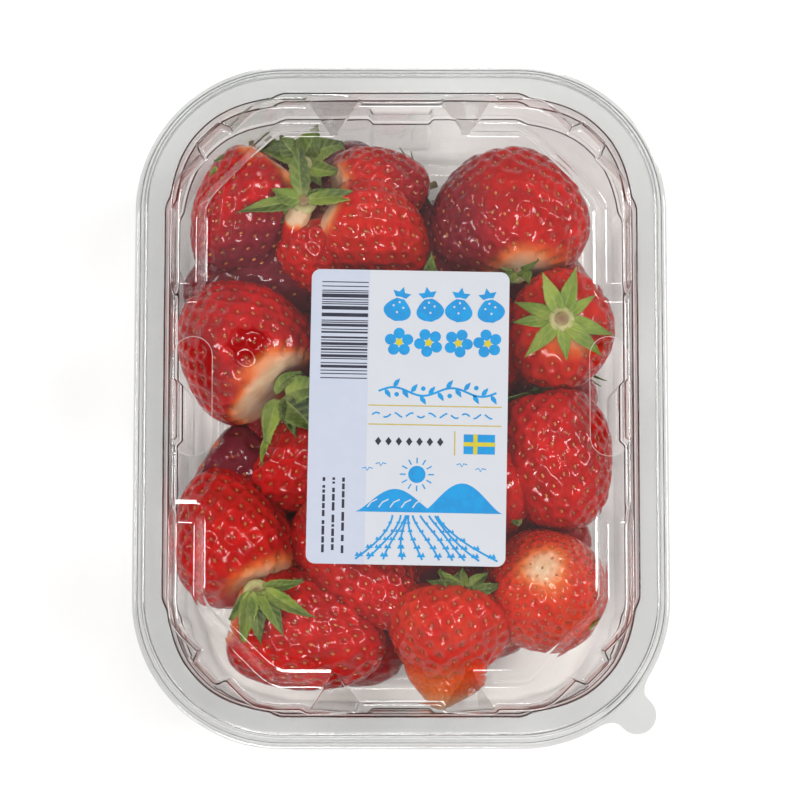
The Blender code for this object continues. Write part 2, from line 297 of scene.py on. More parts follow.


# %% [markdown]
# ## The clear sheet
# Tub and lid are thermoformed from clear sheet about a third of a millimetre thick. Clear plastic shows by
# its folds: a bend turns the light away and reads as a dark or bright line. So the sheet is modelled as a
# real thin wall with both its faces, and glass bends the light. Lamps pass through it by a Transparent
# shader that only shadow rays see, because a renderer seldom finds a small lamp through bent glass.
# Each zone of the sheet is given its own grey, which is painted shade: darkest on the lid's ramps and
# skirt, lighter on its land and on the tub, lightest on the lid's panel. The tub's wall also has a warm
# cast, a painted reflection of the fruit. The ramps mirror less as well, so they read as quiet slopes
# between the bright folds.

# %% Make the clear sheet's material
SHEET_INDEX = 1.57
LAMP_PASS = (0.86, 0.865, 0.86, 1.0)
RIPPLE_SCALE, RIPPLE_DEPTH = 60.0, 0.0004


def clear_sheet(name, painted_shade_colour, rough, ripple, index=SHEET_INDEX):
    """A clear plastic: glass for the eye, painted grey as shade, and a plain filter for the light of the
    lamps.
    """
    made, tree, shader = start_material(name, painted_shade_colour, rough)
    shader.inputs["IOR"].default_value = index
    shader.inputs["Transmission Weight"].default_value = 1.0
    use_relief(tree, shader, RIPPLE_SCALE, ripple, RIPPLE_DEPTH)
    lamps = tree.nodes.new("ShaderNodeBsdfTransparent")
    lamps.inputs["Color"].default_value = LAMP_PASS
    rays = tree.nodes.new("ShaderNodeLightPath")
    either = tree.nodes.new("ShaderNodeMixShader")
    tree.links.new(rays.outputs["Is Shadow Ray"], either.inputs["Fac"])
    tree.links.new(shader.outputs["BSDF"], either.inputs[1])
    tree.links.new(lamps.outputs["BSDF"], either.inputs[2])
    tree.links.new(either.outputs["Shader"], tree.nodes["Material Output"].inputs["Surface"])
    return made


# Each sheet's base colour below is painted shade; the tub wall's warm cast is also a painted reflection of
# the fruit.
lid_clear = clear_sheet("clear_lid_panel", (0.950, 0.950, 0.945), 0.04, 0.10)
lid_ramp = clear_sheet("clear_lid_ramp", (0.690, 0.680, 0.670), 0.04, 0.10, 1.13)
lid_land = clear_sheet("clear_lid_land", (0.795, 0.797, 0.791), 0.04, 0.10)
lid_skirt = clear_sheet("clear_lid_skirt", (0.710, 0.715, 0.710), 0.05, 0.10)
tub_clear = clear_sheet("clear_tub_wall", (0.855, 0.810, 0.798), 0.05, 0.15)
tub_lip = clear_sheet("clear_tub_lip", (0.880, 0.882, 0.878), 0.05, 0.15)
print("clear sheets made:", sum(made.name.startswith("clear_") for made in bpy.data.materials))

# %% [markdown]
# ## Going round the rim
# Both mouldings follow the same rounded rectangle, so both are lofts. A `station` is a place on the rim
# with a direction that points out of it. At each station a profile is drawn in two numbers, how far in
# from the rim and how high, and neighbouring profiles are joined with quads.

# %% Place the stations round the rim
rim_low, rim_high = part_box("lid")
HALF_X = (rim_high.x - rim_low.x) / 2
HALF_Y = (rim_high.y - rim_low.y) / 2
CORNER_R = 0.040


def side_places(reach, fine_from, fine_to, fine_step, coarse_step):
    """Places from -reach up to reach, closer together where the side's ramps are."""
    places, here = [], -reach
    while here < reach - 0.3 * fine_step:
        places.append(here)
        near = fine_from - coarse_step < abs(here) < fine_to + coarse_step
        here += fine_step if near else coarse_step
    return places


def round_the_rim(long_places, short_places, angles):
    """Stations anticlockwise from the lower end of the +X side: base, out, along, kind and place."""
    base, out, along, kind, spot = [], [], [], [], []
    for quarter in range(4):
        turn = quarter * math.pi / 2
        away = np.array((math.cos(turn), math.sin(turn)))
        sideways = np.array((-away[1], away[0]))
        centre = np.array((HALF_X - CORNER_R, HALF_Y - CORNER_R))
        for place in long_places if quarter % 2 == 0 else short_places:
            base.append(away * float(np.abs(away) @ centre) + sideways * place)
            out.append(away)
            along.append(sideways)
            kind.append(quarter % 2)
            spot.append(place)
        corner = centre * np.array((1 if quarter in (0, 3) else -1, 1 if quarter in (0, 1) else -1))
        for angle in angles:
            swing = turn + math.radians(angle)
            base.append(corner)
            out.append(np.array((math.cos(swing), math.sin(swing))))
            along.append(np.zeros(2))
            kind.append(2)
            spot.append(angle)
    return np.array(base), np.array(out), np.array(along), np.array(kind), np.array(spot)


def smoothstep(low, high, value):
    """0 below low and 1 above high, with a soft start and end between them."""
    share = np.clip((value - low) / (high - low), 0.0, 1.0)
    return share * share * (3.0 - 2.0 * share)


def soft_min(first, second, width):
    """The smaller of two lengths, with the corner between them rounded."""
    share = np.maximum(width - np.abs(first - second), 0.0) / width
    return np.minimum(first, second) - share * share * width / 4.0


print("half sizes of the lid, in metres:", round(HALF_X, 4), round(HALF_Y, 4))

# %% [markdown]
# The folds of a moulded sheet are round, so each corner of a profile is swapped for a short curve. The loft
# then joins ring after ring and shuts the middle. Solidify turns the sheet into a wall with two faces.

# %% Round a profile, loft through its rings and thicken the sheet
STEPS = 5
MOST_OF_SIDE = 0.46


def bend_at(start, corner, end, t):
    """A spot on the short curve that cuts a corner, t running from 0 to 1."""
    return (1 - t) ** 2 * start + 2 * t * (1 - t) * corner + t * t * end


def round_profile(points, radii, steps=STEPS):
    """Points (stations x corners x values) with each inner corner swapped for a short curve."""
    rows = [points[:, 0]]
    for place in range(1, points.shape[1] - 1):
        before, here, after = points[:, place - 1], points[:, place], points[:, place + 1]
        back = np.linalg.norm((before - here)[:, :2], axis=1)
        ahead = np.linalg.norm((after - here)[:, :2], axis=1)
        cut_back = np.minimum(radii[place], MOST_OF_SIDE * back) / np.maximum(back, 1e-9)
        cut_ahead = np.minimum(radii[place], MOST_OF_SIDE * ahead) / np.maximum(ahead, 1e-9)
        start = here + (before - here) * cut_back[:, None]
        end = here + (after - here) * cut_ahead[:, None]
        rows += [bend_at(start, here, end, step / (steps - 1)) for step in range(steps)]
    rows.append(points[:, -1])
    return rows


def ring_of(stations, row):
    """World points of one ring: row holds inset, height and shift along the side."""
    base, out, along, _, _ = stations
    flat = base + out * (CORNER_R - row[:, :1]) + along * row[:, 2:3]
    return np.column_stack((flat, row[:, 1]))


def loft(name, rings, paints, cap_height):
    """One open sheet through the rings, shut in the middle by a fan; paints are (first row, material)."""
    count = len(rings[0])
    points = np.vstack(rings + [np.array([[0.0, 0.0, cap_height]])])
    faces = []
    for row in range(len(rings) - 1):
        for step in range(count):
            after = (step + 1) % count
            faces.append((row * count + step, row * count + after,
                          (row + 1) * count + after, (row + 1) * count + step))
    last = (len(rings) - 1) * count
    for step in range(count):
        faces.append((last + step, last + (step + 1) % count, len(points) - 1))
    mesh = bpy.data.meshes.new(name)
    mesh.from_pydata(points.tolist(), [], faces)
    mesh.polygons.foreach_set("use_smooth", [True] * len(mesh.polygons))
    index = np.zeros(len(faces), int)
    for number, (first_row, paint) in enumerate(paints):
        mesh.materials.append(paint)
        index[first_row * count:] = number
    mesh.polygons.foreach_set("material_index", index)
    made = bpy.data.objects.new(name, mesh)
    bpy.context.scene.collection.objects.link(made)
    return made


def thicken(piece, depth):
    """A wall of even depth behind the sheet's outer face."""
    solid = piece.modifiers.new("sheet", "SOLIDIFY")
    solid.thickness = depth
    solid.offset = -1.0
    solid.use_even_offset = True


def keep_result(piece, crisp=40.0):
    """Put the modifiers' result in the mesh, and shade it crisp where it turns by more than some degrees."""
    bpy.context.view_layer.update()
    graph = bpy.context.evaluated_depsgraph_get()
    finished = bpy.data.meshes.new_from_object(piece.evaluated_get(graph))
    piece.modifiers.clear()
    piece.data = finished
    finished.set_sharp_from_angle(angle=math.radians(crisp))


print("points in each rounded fold:", STEPS)

# %% [markdown]
# ## The lid
# The lid has a skirt that snaps over the tub, a flat land, and a raised middle that reaches the land halfway
# along each side. In each corner lies an L-shaped pocket, where the feet of a pack stacked on top would sit.
# Its outer wall cuts the corner off and has a small lug in the middle. Ramps end the pockets on the sides.

# %% Shape the lid's profile at every station
# Heights of the land, the raised middle, the pockets' floor and the skirt's foot.
LAND_Z, PANEL_Z, POCKET_Z, FOOT_Z = 0.0501, 0.0510, 0.0468, 0.0448
# From the middle of a side: where its flat ends and where the pocket is deep, and the slant of a short ramp.
LONG_FLAT, LONG_POCKET = 0.0265, 0.0324
SHORT_FLAT, SHORT_POCKET, SHORT_SLANT = 0.0106, 0.0250, 0.0064
# In from the rim: the pocket's outer wall, and the foot and the run of the ridge round the raised middle.
WALL_IN, RIDGE_IN, RIDGE_RUN = 0.0100, 0.0166, 0.0030
# Where they cut across a corner, how far the wall and the ridge's top lie from the middle of its arc.
CHAMFER_R, RIDGE_R = 0.0262, 0.0156
RAMP_EDGE, RAMP_OUT = 0.0008, 0.0010
LONG_WALL_BACK, SHORT_WALL_BACK = 0.0008, 0.0014
LUG_OUT, LUG_HALF = 0.0029, 0.0045
FACET_WIDTH, FACET_DROP = 0.0014, 0.10
LID_SHEET = 0.00035

lid_stations = round_the_rim(
    side_places(HALF_Y - CORNER_R, LONG_FLAT, LONG_POCKET, 0.0005, 0.0030),
    side_places(HALF_X - CORNER_R, SHORT_FLAT, SHORT_POCKET, 0.0006, 0.0016),
    np.arange(0.0, 90.0, 1.5),
)
_, _, _, kind, spot = lid_stations
size = np.abs(spot)
is_corner, is_long, is_short = kind == 2, kind == 0, kind == 1
swing = np.radians(np.where(is_corner, spot - 45.0, 0.0))

# How deep the pocket is at each station, from 0 on the flat to 1 at its floor.
pocket = np.ones(len(spot))
facet = LONG_FLAT + FACET_WIDTH
pocket[is_long] = np.interp(size[is_long],
                            (LONG_FLAT, facet, facet + RAMP_EDGE, LONG_POCKET - RAMP_EDGE, LONG_POCKET),
                            (0.0, FACET_DROP, 0.20, 0.90, 1.0))
pocket[is_short] = np.interp(size[is_short],
                             (SHORT_FLAT, SHORT_FLAT + RAMP_EDGE, SHORT_POCKET - RAMP_EDGE, SHORT_POCKET),
                             (0.0, 0.13, 0.87, 1.0))

across = np.abs(CHAMFER_R * np.tan(swing))
lug = LUG_OUT * (1.0 - smoothstep(LUG_HALF - 0.0011, LUG_HALF + 0.0011, across))
cut_corner = CORNER_R - soft_min(CORNER_R - WALL_IN, CHAMFER_R / np.cos(swing), 0.0018) - lug
wall = np.where(is_corner, cut_corner, WALL_IN)
wall = wall + np.where(is_long, LONG_WALL_BACK * (1.0 - pocket), 0.0)
off_flat = smoothstep(SHORT_FLAT - 0.0002, SHORT_FLAT + 0.0010, size)
wall = wall + np.where(is_short, SHORT_WALL_BACK * (1.0 - off_flat), 0.0)
ramp = off_flat * (1.0 - smoothstep(SHORT_POCKET - 0.0002, SHORT_POCKET + 0.0010, size))
wall = wall - np.where(is_short, RAMP_OUT * ramp, 0.0)


def ridge(run):
    """Inset of the ridge round the raised middle, from its foot (0) to its top (1)."""
    side = RIDGE_IN + RIDGE_RUN * run
    diagonal = (RIDGE_R + RIDGE_RUN * (1.0 - run)) / np.cos(swing)
    return np.where(is_corner, CORNER_R - soft_min(CORNER_R - side, diagonal, 0.0030), side)


# The ramps lie aslant, so the profile's inner points slide along the side there.
shift = np.interp(size, (0.0, SHORT_FLAT, SHORT_POCKET, HALF_X - CORNER_R),
                  (0.0, SHORT_SLANT, -SHORT_SLANT, 0.0))
slant = np.where(is_short, np.sign(spot) * shift, 0.0)
low = PANEL_Z + (POCKET_Z - PANEL_Z) * pocket
run = 0.0004 + 0.0011 * pocket
flat = np.zeros(len(spot))

corners = (
    # inset, height, share of the slant, radius of the fold
    (flat, flat + FOOT_Z, 0.0, 0.0),
    (flat + 0.0007, flat + FOOT_Z + 0.0001, 0.0, 0.0003),
    (flat + 0.0014, flat + 0.0472, 0.0, 0.0004),
    (flat + 0.0021, flat + 0.0476, 0.0, 0.0004),
    (flat + 0.0027, flat + 0.0498, 0.0, 0.0006),
    (flat + 0.0034, flat + 0.0503, 0.0, 0.0008),
    (flat + 0.0041, flat + LAND_Z, 0.0, 0.0004),
    (wall, flat + LAND_Z, 0.0, 0.0006),
    (wall + run, low, 0.1, 0.0007),
    (np.maximum(ridge(0.0), wall + run + 0.0012), low, 0.75, 0.0009),
    (ridge(1.0) - 0.0004, low + (PANEL_Z - low) * (1.0 - FACET_DROP), 1.0, 0.0005),
    (ridge(1.0) - 0.0004 + FACET_WIDTH, flat + PANEL_Z, 1.0, 0.0004),
    (ridge(1.0) + 0.0050, flat + PANEL_Z, 0.6, 0.0005),
    (ridge(1.0) + 0.0070, flat + PANEL_Z, 0.4, 0.0),
)
profile = np.stack([np.stack((inset, height, slant * share), axis=1)
                    for inset, height, share, _ in corners], axis=1)
lid_rows = round_profile(profile, [radius for _, _, _, radius in corners])
# The first ring is one row, and each fold after it makes STEPS rows.
first_land_row, first_clear_row, ramp_end_row = 1 + 5 * STEPS, 1 + 7 * STEPS, 1 + 10 * STEPS
lid_paints = ((0, lid_skirt), (first_land_row, lid_land), (first_clear_row, lid_clear))
lid = loft("clear_lid", [ring_of(lid_stations, row) for row in lid_rows], lid_paints, PANEL_Z)
lid.data.materials.append(lid_ramp)
ramp_stations = np.flatnonzero(is_short & (size > SHORT_FLAT) & (size < SHORT_POCKET))
for row in range(first_clear_row, ramp_end_row):
    for station in ramp_stations:
        lid.data.polygons[row * len(spot) + int(station)].material_index = len(lid_paints)
thicken(lid, LID_SHEET)
print("lid rings and stations:", len(lid_rows), len(spot))

# %% [markdown]
# Two long round-ended vents go through the raised middle, one near each long side. A Boolean with an upright
# prism cuts each, and the result is then kept as plain mesh.

# %% Cut the two long vents beside the label
VENT_X, VENT_Y = 0.0555, 0.0011
VENT_WIDTH, VENT_LENGTH = 0.0102, 0.0322
CUTTER_HALF = 0.003


def vent_outline(side, grow=0.0, steps=14):
    """A round-ended slot's outline, anticlockwise."""
    radius = VENT_WIDTH / 2 + grow
    outline = []
    for end in (1, -1):
        for step in range(steps + 1):
            turn = math.pi * step / steps + (0.0 if end == 1 else math.pi)
            y = VENT_Y + end * (VENT_LENGTH - VENT_WIDTH) / 2 + radius * math.sin(turn)
            outline.append((side * VENT_X + radius * math.cos(turn), y))
    return outline


def prism_faces(count):
    """The bottom, the top and the sides of an upright prism over an outline of so many points."""
    faces = [tuple(reversed(range(count))), tuple(range(count, 2 * count))]
    return faces + [(at, (at + 1) % count, (at + 1) % count + count, at + count) for at in range(count)]


def prism(name, outline, low, high):
    """An upright prism from an anticlockwise outline."""
    points = [(x, y, low) for x, y in outline] + [(x, y, high) for x, y in outline]
    mesh = bpy.data.meshes.new(name)
    mesh.from_pydata(points, [], prism_faces(len(outline)))
    return bpy.data.objects.new(name, mesh)


for side in (-1, 1):
    cutter = prism("vent_cutter", vent_outline(side), PANEL_Z - CUTTER_HALF, PANEL_Z + CUTTER_HALF)
    bpy.context.scene.collection.objects.link(cutter)
    cut = lid.modifiers.new("vent", "BOOLEAN")
    cut.solver = "EXACT"
    cut.object = cutter
keep_result(lid)
for helper in [made for made in bpy.data.objects if made.name.startswith("vent_cutter")]:
    bpy.data.objects.remove(helper, do_unlink=True)
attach(lid, "root")
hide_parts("lid")
print("lid faces:", len(lid.data.polygons))

# %% [markdown]
# The knife leaves a rough edge round each vent. It scatters light and reads as a thin pale line, so each
# vent gets a fine bead along its cut. The pull tab is a flat tongue that grows out of the lid at one corner.

# %% Line the vents and add the pull tab
BEAD_OUT, BEAD_REACH, BEAD_HALF = 0.00005, 0.00006, 0.00020
TAB_ROOT, TAB_HALF, TAB_TIP = 0.0090, 0.0051, 0.0438
edge_paint, tree, shader = start_material("cut_edge", rough=0.35)
paint_mottled(tree, shader, (0.72, 0.71, 0.70), (0.56, 0.55, 0.54), 500.0)


def bead_shape(side, steps=8):
    """A fine bead along one vent's edge."""
    line = np.array(vent_outline(side, BEAD_OUT))
    along = np.roll(line, -1, axis=0) - np.roll(line, 1, axis=0)
    out = np.column_stack((along[:, 1], -along[:, 0])) / np.linalg.norm(along, axis=1)[:, None]
    points = []
    for spot, away in zip(line, out):
        for step in range(steps):
            turn = 2 * math.pi * step / steps
            reach = BEAD_REACH * math.cos(turn)
            points.append((*(spot + away * reach), PANEL_Z - LID_SHEET / 2 + BEAD_HALF * math.sin(turn)))
    count = len(line)
    faces = [(at * steps + step, (at + 1) % count * steps + step,
              (at + 1) % count * steps + (step + 1) % steps, at * steps + (step + 1) % steps)
             for at in range(count) for step in range(steps)]
    return np.array(points), faces


def tab_outline():
    """The tongue in plan, from the middle of the corner's arc: across the diagonal, and out along it."""
    start = np.array((-TAB_ROOT, math.sqrt(CORNER_R ** 2 - TAB_ROOT ** 2)))
    bend, end = np.array((-0.0053, 0.0402)), np.array((-TAB_HALF, 0.0427))
    side = [tuple(bend_at(start, bend, end, step / 8)) for step in range(9)]
    turns = [math.pi * step / 20 for step in range(21)]
    tip = [(-TAB_HALF * math.cos(turn), TAB_TIP + TAB_HALF * math.sin(turn)) for turn in turns]
    sweep = math.asin(TAB_ROOT / CORNER_R)
    rim = [(CORNER_R * math.sin(turn), CORNER_R * math.cos(turn))
           for turn in np.linspace(sweep, -sweep, 13)[1:-1]]
    outline = side + tip + [(-x, y) for x, y in reversed(side)] + rim
    diagonal = math.sqrt(0.5)
    return [(HALF_X - CORNER_R + (out + across) * diagonal, -(HALF_Y - CORNER_R) - (out - across) * diagonal)
            for across, out in outline]


edges = join_up("vent_edges", [bead_shape(side) for side in (-1, 1)], edge_paint)
tab = prism("pull_tab", tab_outline()[::-1], FOOT_Z - LID_SHEET, FOOT_Z)
bpy.context.scene.collection.objects.link(tab)
# The tab shares the skirt's painted shade.
tab.data.materials.append(lid_skirt)
for piece in (edges, tab):
    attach(piece, "root")
    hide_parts("lid")
print("beads and tab:", len(edges.data.polygons), len(tab.data.polygons))

# %% [markdown]
# ## The tub
# The tub hangs its own lip under the lid's land. Its walls lean in by a few degrees, with shallow upright
# flutes that stiffen the thin sheet, and it stands on a flat ring round a slightly raised floor.

# %% Shape the tub
TUB_SHEET = 0.0004
FLOOR_RAISE = 0.0020
FLUTE_HALF, FLUTE_DEEP = 0.0083, 0.0013
tub_stations = round_the_rim(
    side_places(HALF_Y - CORNER_R, FLUTE_HALF - 0.001, FLUTE_HALF + 0.001, 0.0005, 0.0030),
    side_places(HALF_X - CORNER_R, FLUTE_HALF - 0.001, FLUTE_HALF + 0.001, 0.0005, 0.0030),
    np.arange(0.0, 90.0, 3.0),
)
_, _, _, kind, spot = tub_stations
flat = np.zeros(len(spot))
edge = np.where(kind == 2, np.minimum(spot, 90.0 - spot), 0.0)
# The mouth steps in a little as each corner begins, and eases back out towards the corner's middle.
jog = 0.0012 * smoothstep(0.0, 7.0, edge) - 0.0006 * smoothstep(12.0, 40.0, edge)
flute = np.where(kind == 2, 0.0, 1.0 - smoothstep(FLUTE_HALF - 0.0008, FLUTE_HALF + 0.0008, np.abs(spot)))
mouth = 0.0083 + jog

corners = (
    # inset, height, radius of the fold
    (flat + 0.0031, flat + 0.0464, 0.0),
    (flat + 0.0031, flat + 0.0493, 0.0006),
    (mouth, flat + 0.0493, 0.0007),
    (mouth + 0.0006, flat + 0.0455, 0.0004),
    (mouth + 0.0012, flat + 0.0449, 0.0005),
    (mouth + 0.0014, flat + 0.0400, 0.0010),
    (mouth + 0.0016 + FLUTE_DEEP * flute, flat + 0.0370, 0.0012),
    (mouth + 0.0020 + FLUTE_DEEP * flute, flat + 0.0300, 0.0004),
    (mouth + 0.0028 + FLUTE_DEEP * flute, flat + 0.0294, 0.0004),
    (mouth + 0.0050 + FLUTE_DEEP * flute, flat + 0.0090, 0.0020),
    (mouth + 0.0062, flat + 0.0042, 0.0020),
    (mouth + 0.0085, flat + TUB_SHEET, 0.0016),
    (mouth + 0.0126, flat + TUB_SHEET, 0.0010),
    (mouth + 0.0144, flat + FLOOR_RAISE + TUB_SHEET, 0.0010),
    (mouth + 0.0180, flat + FLOOR_RAISE + TUB_SHEET, 0.0),
)
profile = np.stack([np.stack((inset, height, flat), axis=1) for inset, height, _ in corners], axis=1)
tub_rows = round_profile(profile, [radius for _, _, radius in corners])
tub_paints = ((0, tub_lip), (1 + 2 * STEPS, tub_clear))
tub_rings = [ring_of(tub_stations, row) for row in tub_rows]
tub = loft("clear_tub", tub_rings, tub_paints, FLOOR_RAISE + TUB_SHEET)
thicken(tub, TUB_SHEET)
keep_result(tub)
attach(tub, "root")
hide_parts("tub")
print("tub rings and stations:", len(tub_rows), len(spot))

# %% [markdown]
# ## Strawberries
# A strawberry is a swollen cone with its seeds outside, each in a small pit. One berry starts as a ball of
# evenly sized squares. Its rings are narrowed towards the tip, the top is dished where the leaves grow,
# a few slow waves make it uneven, and each seed then presses a pit into the skin.
#
# The table gives each berry its place, length, width and lean. Anything it doesn't say comes from PLAIN:
# how far the cone tapers, how coarse the mesh and the seeds are, how ripe and pale the skin is, how much
# painted shade darkens it, on which side each lies, and how many leaves the crown has, how long they are
# and how they lift and curl.

# %% Describe all the berries
PLAIN = {"thick": None, "taper": 0.26, "dip": 0.075, "lumps": 0.030, "gap": 4.3, "cuts": 48,
         "ripe": 0.85, "dusk": 0.0, "dusk_side": None, "pale": 0.05, "pale_side": 90.0, "tip_pale": 0.0,
         "tip_reach": 0.42, "sepals": 9, "leaf": 12.0, "leaf_steps": 16, "lift": -12.0, "curl": 18.0,
         "tone": 0.5, "stalk": (1.0, 4.0)}


def berry(x, y, z, length, width, turn, rise, **more):
    """One berry in millimetres and degrees: turn and rise point from its tip to its leafy crown."""
    return dict(PLAIN, place=(x, y, z), length=length, width=width, turn=turn, rise=rise, **more)


TOP_BERRIES = (
    berry(-43.0, 55.0, 29.5, 37, 31, 55, 4, ripe=0.95, dusk=1.0, dusk_side=-60, pale=0.25, sepals=0,
          lumps=0.045),
    berry(-7.9, 49.0, 31.0, 35, 32.5, 150, 12, thick=32, ripe=0.75, pale=0.42, pale_side=60, sepals=0,
          lumps=0.05),
    berry(28.9, 53.8, 29.3, 39, 46, -80, 8, thick=36, taper=0.10, dusk=0.9, dusk_side=205, pale=0.42, gap=4.7,
          sepals=0, lumps=0.045),
    berry(43.2, 22.2, 29.8, 34, 29, 100, 88, thick=33, ripe=0.70, pale=0.05, leaf=12.6, lift=-4, curl=0,
          sepals=9, tone=0.95, stalk=(1.7, 0.3), dip=0.03),
    berry(41.6, -12.5, 31.0, 40, 33, 104, -4, taper=0.12, pale_side=270),
    berry(38.6, -48.0, 31.0, 36, 34, -65, -80, ripe=0.25, tip_pale=1.0, tip_reach=0.60, gap=3.2, taper=0.12,
          sepals=0),
    berry(12.6, -59.4, 30.5, 28.5, 36.0, 88, 4, ripe=0.45, lumps=0.055, sepals=0, tip_pale=0.42,
          tip_reach=1.0),
    berry(-26.0, -59.5, 28.8, 45, 33.5, 165, 0, taper=0.20, sepals=0, lumps=0.04),
    berry(-45.7, -33.5, 30.0, 39, 33.5, -72, 14, pale=0.34, pale_side=30, sepals=0, gap=4.6),
    berry(-43.6, 18.2, 30.5, 40, 38, -50, 14, ripe=0.95, pale=0.42, pale_side=120, sepals=0, gap=4.6),
    berry(-26.0, -14.0, 30.0, 33, 27, 35, 0, sepals=0, cuts=40, ripe=0.9),
    berry(-10.8, -40.6, 30.0, 43, 35, 122, -20, taper=0.32, gap=3.9, sepals=0),
)
COVERED_BERRIES = (
    berry(-6.0, 61.6, 30.0, 28, 25, 195, 14, pale=0.50, sepals=0, cuts=40, gap=3.9, dusk=0.5, dusk_side=0),
    berry(-21.8, 43.3, 31.0, 25, 23, 115, 20, pale=0.0, sepals=0, cuts=40, gap=3.9),
    berry(-28.2, 51.6, 40.0, 15, 6.2, 68, 10, pale=3.0, sepals=0, cuts=16, gap=60, dip=0.0, taper=0.05),
    berry(11.3, -70.0, 28.5, 19, 26, 84, 6, thick=20, taper=0.5, tip_pale=0.85, tip_reach=1.8, pale=0.8,
          ripe=0.0, sepals=0, cuts=32, gap=1.9, lumps=0.16),
    berry(-7.5, 16.0, 30.0, 37, 32, 30, 0, cuts=18),
    berry(21.0, 18.0, 29.5, 34, 28, 124, 30, cuts=18, sepals=0),
    berry(-8.0, -14.5, 30.0, 33, 29, 160, 0, cuts=18),
    berry(18.0, -21.0, 30.0, 36, 30, 10, 0, cuts=18),
    berry(-41.8, -17.0, 21.0, 29, 26, 150, 0, cuts=30, gap=6.5, pale=0.0, dusk=1.0, lumps=0.05, sepals=0),
    berry(-38.8, -7.5, 24.0, 16, 11, 75, 0, cuts=30, gap=1.9, dusk=0.7, sepals=0, lumps=0.06),
    berry(-39.0, 38.0, 20.0, 42, 28, 10, 0, cuts=22, gap=6.5, pale=0.0, dusk=1.0, sepals=0),
    berry(-18.0, 62.0, 18.0, 34, 28, 240, 0, cuts=22, gap=6.5, dusk=1.0, sepals=0),
    berry(12.0, 44.0, 20.0, 34, 28, 280, 0, cuts=22, dusk=0.9, sepals=0),
)
# The low layer carries some painted shade all over, as it lies under the top berries.
LOW_BERRIES = tuple(
    berry(x, y, 15.5, 32, 27, turn, rise, cuts=18, leaf_steps=9, ripe=ripe, dusk=0.35)
    for x, y, turn, rise, ripe in (
        (-38, 30, 40, 0, 0.8), (8, 30, 160, 5, 0.7), (38, 38, -70, -5, 0.9), (-30, 3, 100, 0, 0.8),
        (6, 0, -30, 5, 0.7), (38, 4, 60, 0, 0.9), (-38, -32, 200, 0, 0.8), (4, -31, 80, -5, 0.6),
        (36, -34, 190, 0, 0.8), (-14, -60, 150, 0, 0.9), (20, -54, 165, 0, 0.5), (-8, 60, 20, 0, 0.7),
        (-38, 60, 100, 0, 0.9),
    )
)
ALL_BERRIES = TOP_BERRIES + COVERED_BERRIES + LOW_BERRIES
print("berries:", len(TOP_BERRIES), "in full view and", len(ALL_BERRIES) - len(TOP_BERRIES), "more")

# %% [markdown]
# A berry's shape is a rule that takes a direction and gives a point on the skin. The same rule places the
# mesh and the seeds, so that every seed sits in its own pit. The seeds follow a sunflower's spiral.

# %% Make a ball of even squares, and one berry's skin over it
def even_ball(cuts):
    """Unit directions and quads: a cube's six faces, cut into squares and blown up round."""
    steps = np.tan(np.linspace(-math.pi / 4, math.pi / 4, cuts + 1))
    u, v = np.meshgrid(steps, steps, indexing="ij")
    one = np.ones_like(u)
    sheets = ((one, u, v), (-one, v, u), (v, one, u), (u, -one, v), (u, v, one), (v, u, -one))
    points = np.concatenate([np.stack(sheet, axis=-1).reshape(-1, 3) for sheet in sheets])
    corner = np.arange((cuts + 1) ** 2).reshape(cuts + 1, cuts + 1)
    square = (corner[:-1, :-1], corner[1:, :-1], corner[1:, 1:], corner[:-1, 1:])
    quads = np.stack(square, axis=-1).reshape(-1, 4)
    quads = np.concatenate([quads + sheet * (cuts + 1) ** 2 for sheet in range(6)])
    points, index = np.unique(np.round(points, 6), axis=0, return_inverse=True)
    return points / np.linalg.norm(points, axis=1)[:, None], index.reshape(-1)[quads]


def angle_gap(first, second):
    """The turn from the second angle to the first, between -pi and pi."""
    return (first - second + math.pi) % (2 * math.pi) - math.pi


# A power below 1 fills the berry's flanks out. The dish at the crown has a spread in radians.
FULLNESS, OVAL, DIP_SPREAD = 0.85, 0.03, 0.45


def skin(ways, made, waves):
    """Skin points in metres for unit directions; the berry's own +Z runs from its tip to its crown."""
    rise = ways[:, 2]
    polar = np.arccos(np.clip(rise, -1.0, 1.0))
    around = np.arctan2(ways[:, 1], ways[:, 0])
    sample = np.linspace(0, math.pi, 200)
    widest = (np.sin(sample) ** FULLNESS * (1 + made["taper"] * np.cos(sample))).max()
    ring = np.sin(polar) ** FULLNESS * (1 + made["taper"] * rise) / widest
    lumps = sum(np.sin(ways @ wave[:3] + wave[3]) for wave in waves) / len(waves) ** 0.5
    ring = ring * (1 + made["lumps"] * lumps + OVAL * np.cos(2 * around + waves[0][3]))
    thick = made["thick"] or made["width"]
    height = rise * (1 + 0.4 * made["lumps"] * lumps) * made["length"] / 2
    height = height - made["dip"] * made["length"] * np.exp(-(polar / DIP_SPREAD) ** 2)
    return np.column_stack((ring * np.cos(around) * made["width"] / 2,
                            ring * np.sin(around) * thick / 2, height)) * MM


GOLDEN_TURN = 137.508


def seed_ways(made, first):
    """Directions of the seeds: a sunflower spiral, spaced evenly over the skin's area."""
    polar = np.linspace(0.50, math.pi - 0.06, 240)
    ways = np.column_stack((np.sin(polar), 0 * polar, np.cos(polar)))
    line = skin(ways, made, [np.zeros(4)])
    step = np.linalg.norm(np.diff(line, axis=0), axis=1)
    band = np.concatenate(([0.0], np.cumsum(step * (line[1:, 0] + line[:-1, 0]) * math.pi)))
    count = int(band[-1] / (0.87 * (made["gap"] * MM) ** 2))
    tilt = np.interp((np.arange(count) + 0.5) / count * band[-1], band, polar)
    around = np.arange(count) * math.radians(GOLDEN_TURN) + first
    return np.column_stack((np.sin(tilt) * np.cos(around), np.sin(tilt) * np.sin(around), np.cos(tilt)))


